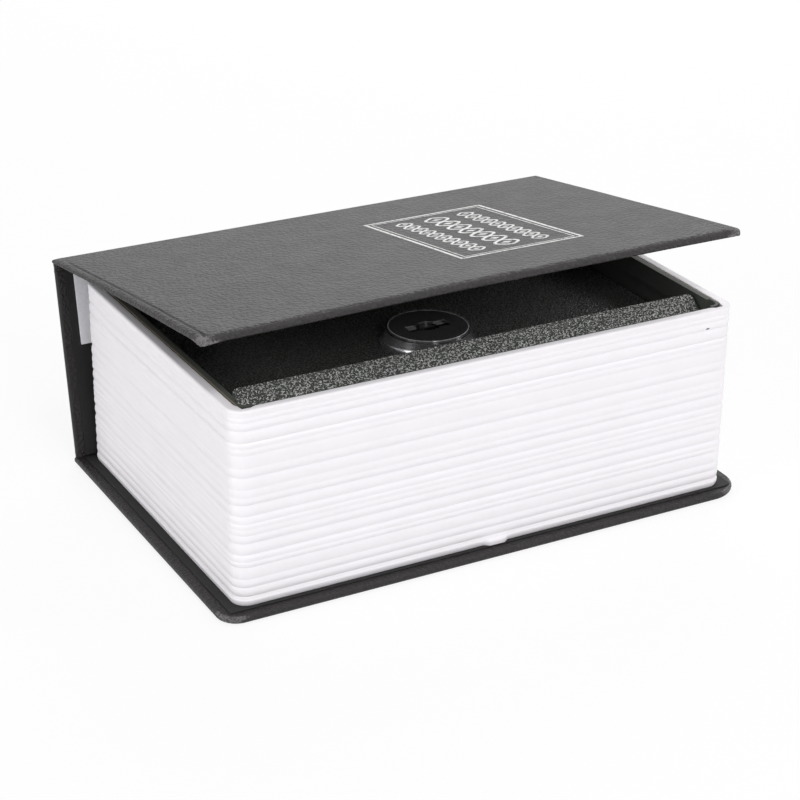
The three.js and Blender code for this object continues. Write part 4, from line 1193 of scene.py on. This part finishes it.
class BOOKSAFE_OT_page_moulding(bpy.types.Operator):
    """Moulds the block of ribbed pages"""

    bl_idname = "booksafe.page_moulding"
    bl_label = "Page moulding"

    def execute(self, context):
        rings = pages_base()
        count = len(rings[0])
        rows = [range(j * count, (j + 1) * count) for j in range(len(rings))]
        places, *measures = zip(*(point for ring in rings for point in ring))
        base = plain_mesh("plain wall", places, bands(rows + rows[:1]))
        for name, values in zip(("outward", "relief", "ribbed"), measures):
            add_attribute(base, name, values)
        mesh = face_outwards(run_tree(rib_tree(), base, "page_plastic"), 1e-6)
        dress(link_mesh("ribbed_pages", mesh, "page_plastic", 70), "back_case", "page_plastic", "page_moulding")
        return {"FINISHED"}


# Steelwork
COATED = {
    "back_case": ("safe_tray", "lid_rest_tail", "lid_rest_head", "strike_plate", "wall_leaf_tail", "wall_leaf_head"),
    "lid": ("lid_plate", "lid_leaf_tail", "lid_leaf_head", "lock_case"),
}


class BOOKSAFE_OT_steelwork(bpy.types.Operator):
    """Gives the folded sheets and the hinges their rounded edges and wrinkle coat"""

    bl_idname = "booksafe.steelwork"
    bl_label = "Steelwork"

    def execute(self, context):
        radius = settings().safe.edge_radius
        for body, nodes in COATED.items():
            for node in nodes:
                mesh = softened(node, "_coated", "tray_steel", body, radius).data
                add_attribute(mesh, "in_tray", [float(node == "safe_tray")] * len(mesh.vertices))
        for node in ("hinge_pin_tail", "hinge_pin_head"):
            softened(node, "_plated", "zinc_plate", "back_case", 0.15 * MM)
        return {"FINISHED"}


# Rivets
UP, TOWARDS_FORE, TOWARDS_SPINE = Vector((0, 0, 1)), Vector((0, -1, 0)), Vector((0, 1, 0))
RIVET_ROWS = {
    "back_case": (("tray_rivet", 4, UP), ("wall_leaf_rivet", 4, TOWARDS_FORE), ("strike_rivet", 2, TOWARDS_SPINE)),
    "lid": (("lid_leaf_rivet", 4, UP),),
}
RIVET_HEAD = 2.6 * MM
RIVET_HEAD_HEIGHT = 1.1 * MM
RIVET_SHANK = 1.5 * MM


def rivet_tree():
    """Sets a domed head and a shank of its own length on every point, along the point's axis."""
    tree, given = new_tree("rivets", (
        ("Head Radius", "NodeSocketFloat", RIVET_HEAD), ("Head Height", "NodeSocketFloat", RIVET_HEAD_HEIGHT),
        ("Shank Radius", "NodeSocketFloat", RIVET_SHANK)))
    ball = add_node(tree, "GeometryNodeMeshUVSphere", {"Segments": 32, "Rings": 16, "Radius": 1})
    size = add_node(tree, "ShaderNodeCombineXYZ", {
        0: given["Head Radius"], 1: given["Head Radius"], 2: given["Head Height"]})
    dome = add_node(tree, "transform", {"Geometry": ball, "Scale": size})
    flat = add_node(tree, "ShaderNodeVectorMath", {
        0: add_node(tree, "GeometryNodeInputPosition"), 1: (-1e3, -1e3, 0)}, operation="MAXIMUM")
    head = add_node(tree, "GeometryNodeSetPosition", {"Geometry": dome, "Position": flat})
    rod = add_node(tree, "GeometryNodeMeshCylinder", {"Vertices": 24, "Radius": given["Shank Radius"], "Depth": 1})
    down = add_node(tree, "transform", {"Geometry": rod, "Translation": (0, 0, -0.5)})
    axis = add_node(tree, "mesh attribute", "axis", data_type="FLOAT_VECTOR")
    turn = add_node(tree, "FunctionNodeAlignRotationToVector", {"Vector": axis}, axis="Z")
    reach = add_node(tree, "ShaderNodeCombineXYZ", {0: 1, 1: 1, 2: add_node(tree, "mesh attribute", "reach")})
    heads = add_node(tree, "instances", {"Points": given["Geometry"], "Instance": head, "Rotation": turn})
    shanks = add_node(tree, "instances", {
        "Points": given["Geometry"], "Instance": down, "Rotation": turn, "Scale": reach})
    both = add_node(tree, "GeometryNodeJoinGeometry", {"Geometry": [heads, shanks]})
    return end_tree(tree, both, given["Material"])


class BOOKSAFE_OT_rivets(bpy.types.Operator):
    """Sets the rivets of the tray, the strike and the hinges"""

    bl_idname = "booksafe.rivets"
    bl_label = "Rivets"

    def execute(self, context):
        tree = rivet_tree()
        for body, rows in RIVET_ROWS.items():
            places, axes, reaches, nodes = [], [], [], []
            for stem, count, axis in rows:
                for k in range(count):
                    nodes.append(f"{stem}_{k + 1}")
                    low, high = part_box(nodes[-1])
                    length = abs((high - low).dot(axis))
                    places.append((low + high) / 2 + axis * (length / 2 - RIVET_HEAD_HEIGHT))
                    axes.append(axis)
                    reaches.append(length - RIVET_HEAD_HEIGHT)
            mesh = run_tree(tree, points_mesh("rivet places", places, axis=axes, reach=reaches), "zinc_plate")
            made = link_mesh(body + "_rivets", face_outwards(mesh), "zinc_plate", 50)
            dress(made, body, "zinc_plate", *nodes)
        return {"FINISHED"}


# Lock
SKIRT_BORE = 9.4 * MM
SKIRT_LIP = 0.35 * MM
SKIRT_COLLAR = 0.45 * MM
SKIRT_STEPS = 16
CAP_FLANGE = 0.75 * MM
CAP_FLANGE_ROLL = 0.12 * MM
CAP_STEP = 0.35 * MM
CAP_BEAD = 0.24 * MM
CAP_DISH = 0.12 * MM
CAP_FLOOR = 0.3 * MM
BOW_LENGTH = 14 * MM
BOW_WAIST = 3.4 * MM
BOW_END = 4.6 * MM
BOW_CENTRE = 3.6 * MM


def skirt_profile():
    """A concave flare from a thin foot up to a collar round the cap."""
    low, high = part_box("lock_skirt")
    wide = (high.x - low.x) / 2 - 0.4 * MM
    cap = CAP_HIGH.x + 0.08 * MM
    flare = wide - cap - 0.22 * MM
    foot = low.z + SKIRT_LIP
    top = high.z + SKIRT_COLLAR
    profile = [(SKIRT_BORE, low.z), (wide - 0.2 * MM, low.z), (wide, low.z + 0.12 * MM)]
    profile += [(wide - flare * sine ** 0.9, foot + (top - foot) * (1 - cosine)) for sine, cosine in arc(SKIRT_STEPS)]
    return profile + [(cap, top), (cap, high.z), (SKIRT_BORE, high.z)]


def cap_profile():
    """A disc with a polished bead round it, on a narrow flange, which the cap's material paints dark as painted shade.
    """
    radius = (CAP_HIGH.x - CAP_LOW.x) / 2
    flange = CAP_LOW.z + CAP_FLANGE
    disc = radius - CAP_STEP
    face = disc - 2.1 * CAP_BEAD
    dish = CAP_HIGH.z - 1.3 * CAP_DISH
    profile = [(0, CAP_LOW.z), (radius - 0.1 * MM, CAP_LOW.z)]
    profile += round_over(radius - CAP_FLANGE_ROLL, flange - CAP_FLANGE_ROLL, CAP_FLANGE_ROLL, 0, 90, 4)
    profile.append((disc, flange))
    profile += round_over(disc - CAP_BEAD, CAP_HIGH.z - CAP_BEAD, CAP_BEAD, 0, 150, 8)
    return profile + [(face, CAP_HIGH.z - CAP_DISH), (face - 1 * MM, dish), (0, dish)]


def prism(name, outline, bottom, top):
    """A prism on an outline of x, y places about the lock's axis."""
    count = len(outline)
    vertices = [(LOCK_PLACE.x + x, LOCK_PLACE.y + y, z) for z in (bottom, top) for x, y in outline]
    lower, upper = range(count), range(count, 2 * count)
    return face_outwards(plain_mesh(name, vertices, [tuple(lower), tuple(reversed(upper)), *bridge(lower, upper)]))


def bow_tie_outline(steps=24):
    """The key opening: two wings and a round middle."""
    half = BOW_LENGTH / 2
    reach = math.asin(BOW_WAIST / 2 / BOW_CENTRE) + 0.12
    outline = []
    for side, start in ((1, 0), (-1, math.pi)):
        outline += [(side * half, -side * BOW_END / 2), (side * half, side * BOW_END / 2)]
        angles = [start + reach + (math.pi - 2 * reach) * k / steps for k in range(steps + 1)]
        outline += [(BOW_CENTRE * math.cos(angle), BOW_CENTRE * math.sin(angle)) for angle in angles]
    return outline


def make_cap():
    """Turns the cap, cuts the key opening into it and rounds its edges."""
    cap = link_mesh("lock_cap_polished", turned_mesh("cap", cap_profile(), 128), "cap_plastic", 40)
    for mesh in (prism("wings", bow_tie_outline(), CAP_LOW.z + CAP_FLOOR, CAP_HIGH.z + 1 * MM),
                 prism("middle", circle(BOW_CENTRE), CAP_LOW.z - 1 * MM, CAP_HIGH.z + 1.5 * MM)):
        cutter = link_mesh(mesh.name, mesh, "cap_plastic")
        shape(cap, "BOOLEAN", operation="DIFFERENCE", solver="EXACT", object=cutter)
        bpy.data.objects.remove(cutter)
    shape(cap, "BEVEL", width=0.14 * MM, segments=3, limit_method="ANGLE", angle_limit=math.radians(60))
    smooth_shaded(cap.data, 40)
    dress(cap, "lid", "cap_plastic", "lock_cap")


def make_turned(node, ending, finish, profile):
    """A turned part of the lock in place of its CAD node."""
    name = node + ending
    dress(link_mesh(name, turned_mesh(name, profile), finish, 40), "lid", finish, node)


class BOOKSAFE_OT_lock(bpy.types.Operator):
    """Makes the lock: skirt, cap, barrel, nut, key core, cam and bolt"""

    bl_idname = "booksafe.lock"
    bl_label = "Lock"

    def execute(self, context):
        low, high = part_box("lock_barrel")
        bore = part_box("key_core")[1].x + 0.1 * MM
        chamfer = 0.3 * MM
        make_turned("lock_skirt", "_satin", "skirt_metal", skirt_profile())
        make_cap()
        make_turned("lock_barrel", "_turned", "lock_brass", [
            (bore, low.z), (high.x, low.z), (high.x, high.z), (bore + chamfer, high.z), (bore, high.z - chamfer)])
        softened("barrel_nut", "_plated", "zinc_plate", "lid", 0.25 * MM)
        softened("key_core", "_turned", "lock_brass", "key_core", 0.15 * MM)
        softened("cam_disc", "_plated", "zinc_plate", "key_core", 0.12 * MM)
        softened("lock_bolt", "_plated", "zinc_plate", "lock_bolt", 0.2 * MM)
        return {"FINISHED"}


# Stage
FLOOR_HALF = 4.0
FLOOR_SHADOW = 0.15
# Each softbox: its name, place, the height that it looks at, its size, and its setting with a share of it
SOFTBOXES = (
    ("back_softbox", (0.5, 0.85, 0.72), 0.06, 0.8, "back_light", 1),
    ("front_softbox", (-0.15, -1.1, 0.72), 0.05, 0.28, "front_light", 1),
    ("high_softbox", (-0.1, -0.55, 1.15), 0.05, 0.3, "high_light", 1),
    ("head_softbox", (1.05, -0.5, 0.52), 0.05, 0.3, "side_light", 0.55),
    ("side_softbox", (-1.15, -0.3, 0.5), 0.05, 0.5, "side_light", 1),
)


def seen_directly(tree):
    """1 where the camera, a mirror or glass sees a thing, and 0 for light that falls on it."""
    rays = add_node(tree, "ShaderNodeLightPath").node.outputs
    looked = add_node(tree, "larger", rays["Is Camera Ray"], rays["Is Glossy Ray"])
    return add_node(tree, "larger", looked, rays["Is Transmission Ray"])


def emptied_tree(owner):
    """The node tree of a material or a world with nothing in it."""
    owner.use_nodes = True
    owner.node_tree.nodes.clear()
    return owner.node_tree


def stage_material():
    """Pale sweep: white to the camera but for a share of the object's shadow."""
    material = bpy.data.materials.new("white_sweep")
    tree = emptied_tree(material)
    share = add_node(tree, "product", seen_directly(tree), 1 - FLOOR_SHADOW)
    paint = add_node(tree, "ShaderNodeBsdfDiffuse", {"Color": (0.97, 0.97, 0.97)})
    glow = add_node(tree, "ShaderNodeEmission", {"Color": (1, 1, 1), "Strength": 1})
    mixed = add_node(tree, "ShaderNodeMixShader", {0: share, 1: paint, 2: glow})
    add_node(tree, "ShaderNodeOutputMaterial", {"Surface": mixed})
    return material


def studio_world(strength):
    """Even light all round, white where the camera, a mirror or glass sees it."""
    world = bpy.data.worlds.new("studio")
    tree = emptied_tree(world)
    level = add_node(tree, "range", seen_directly(tree), 0, 1, strength, 1, interpolation_type="LINEAR")
    glow = add_node(tree, "ShaderNodeBackground", {"Color": (1, 1, 1), "Strength": level})
    add_node(tree, "ShaderNodeOutputWorld", {"Surface": glow})
    bpy.context.scene.world = world


def softbox(name, place, target, size, power):
    """A square lamp that looks from a place to a target."""
    light = bpy.data.lights.new(name, "AREA")
    light.shape = "SQUARE"
    light.size = size
    light.energy = power
    made = bpy.data.objects.new(name, light)
    made.visible_camera = False
    made.location = place
    made.rotation_euler = (target - Vector(place)).to_track_quat("-Z", "Y").to_euler()
    bpy.context.scene.collection.objects.link(made)


def make_camera(stage):
    """A camera at the place, turn and lens of the settings."""
    lens = bpy.data.cameras.new("camera")
    lens.lens = stage.focal_length
    lens.sensor_width = 36
    lens.clip_start = 0.01
    azimuth, elevation, roll = stage.camera_azimuth, stage.camera_elevation, stage.camera_roll
    back = Vector((math.sin(azimuth) * math.cos(elevation), -math.cos(azimuth) * math.cos(elevation),
                   math.sin(elevation)))
    level = Vector((math.cos(azimuth), math.sin(azimuth), 0))
    up = back.cross(level)
    right = level * math.cos(roll) + up * math.sin(roll)
    top = up * math.cos(roll) - level * math.sin(roll)
    camera = bpy.data.objects.new("camera", lens)
    camera.matrix_world = Matrix.Translation(stage.camera_place) @ Matrix((right, top, back)).transposed().to_4x4()
    bpy.context.scene.collection.objects.link(camera)
    return camera


class BOOKSAFE_OT_stage(bpy.types.Operator):
    """Sets the floor, the light and the camera"""

    bl_idname = "booksafe.stage"
    bl_label = "Stage"

    def execute(self, context):
        stage = settings().stage
        corners = [(x * FLOOR_HALF, y * FLOOR_HALF, 0) for x, y in ((-1, -1), (1, -1), (1, 1), (-1, 1))]
        mesh = plain_mesh("floor", corners, [(0, 1, 2, 3)])
        mesh.materials.append(stage_material())
        floor = bpy.data.objects.new("floor", mesh)
        context.scene.collection.objects.link(floor)
        studio_world(stage.sky)
        for name, place, aim, size, light, share in SOFTBOXES:
            softbox(name, place, Vector((0, 0, aim)), size, share * getattr(stage, light))
        context.scene.camera = make_camera(stage)
        context.scene.view_settings.view_transform = "Standard"
        return {"FINISHED"}


OPERATORS = (
    BOOKSAFE_OT_covered_boards, BOOKSAFE_OT_cloth_joints, BOOKSAFE_OT_foil_ornament, BOOKSAFE_OT_page_moulding,
    BOOKSAFE_OT_steelwork, BOOKSAFE_OT_rivets, BOOKSAFE_OT_lock, BOOKSAFE_OT_stage,
)


class BOOKSAFE_PT_panel(bpy.types.Panel):
    """Lists the pieces of the book safe and their settings"""

    bl_label = "Book safe"
    bl_idname = "BOOKSAFE_PT_panel"
    bl_space_type = "VIEW_3D"
    bl_region_type = "UI"
    bl_category = "Book safe"

    def draw(self, context):
        for operator in OPERATORS:
            self.layout.operator(operator.bl_idname)
        for group in ("cover", "pages", "safe", "stage"):
            box = self.layout.box()
            box.label(text=group.title())
            chosen = getattr(context.scene.book_safe, group)
            for name in chosen.bl_rna.properties.keys():
                if name not in ("rna_type", "name"):
                    box.prop(chosen, name)


CLASSES = (CoverSettings, PageSettings, SafeSettings, StageSettings, BookSafeSettings, *OPERATORS, BOOKSAFE_PT_panel)


def register():
    for kind in CLASSES:
        bpy.utils.register_class(kind)
    bpy.types.Scene.book_safe = PointerProperty(type=BookSafeSettings)


def unregister():
    del bpy.types.Scene.book_safe
    for kind in reversed(CLASSES):
        bpy.utils.unregister_class(kind)


def main():
    register()
    bpy.ops.booksafe.covered_boards()
    bpy.ops.booksafe.cloth_joints()
    bpy.ops.booksafe.foil_ornament()
    bpy.ops.booksafe.page_moulding()
    bpy.ops.booksafe.steelwork()
    bpy.ops.booksafe.rivets()
    bpy.ops.booksafe.lock()
    bpy.ops.booksafe.stage()


if __name__ == "__main__":
    main()
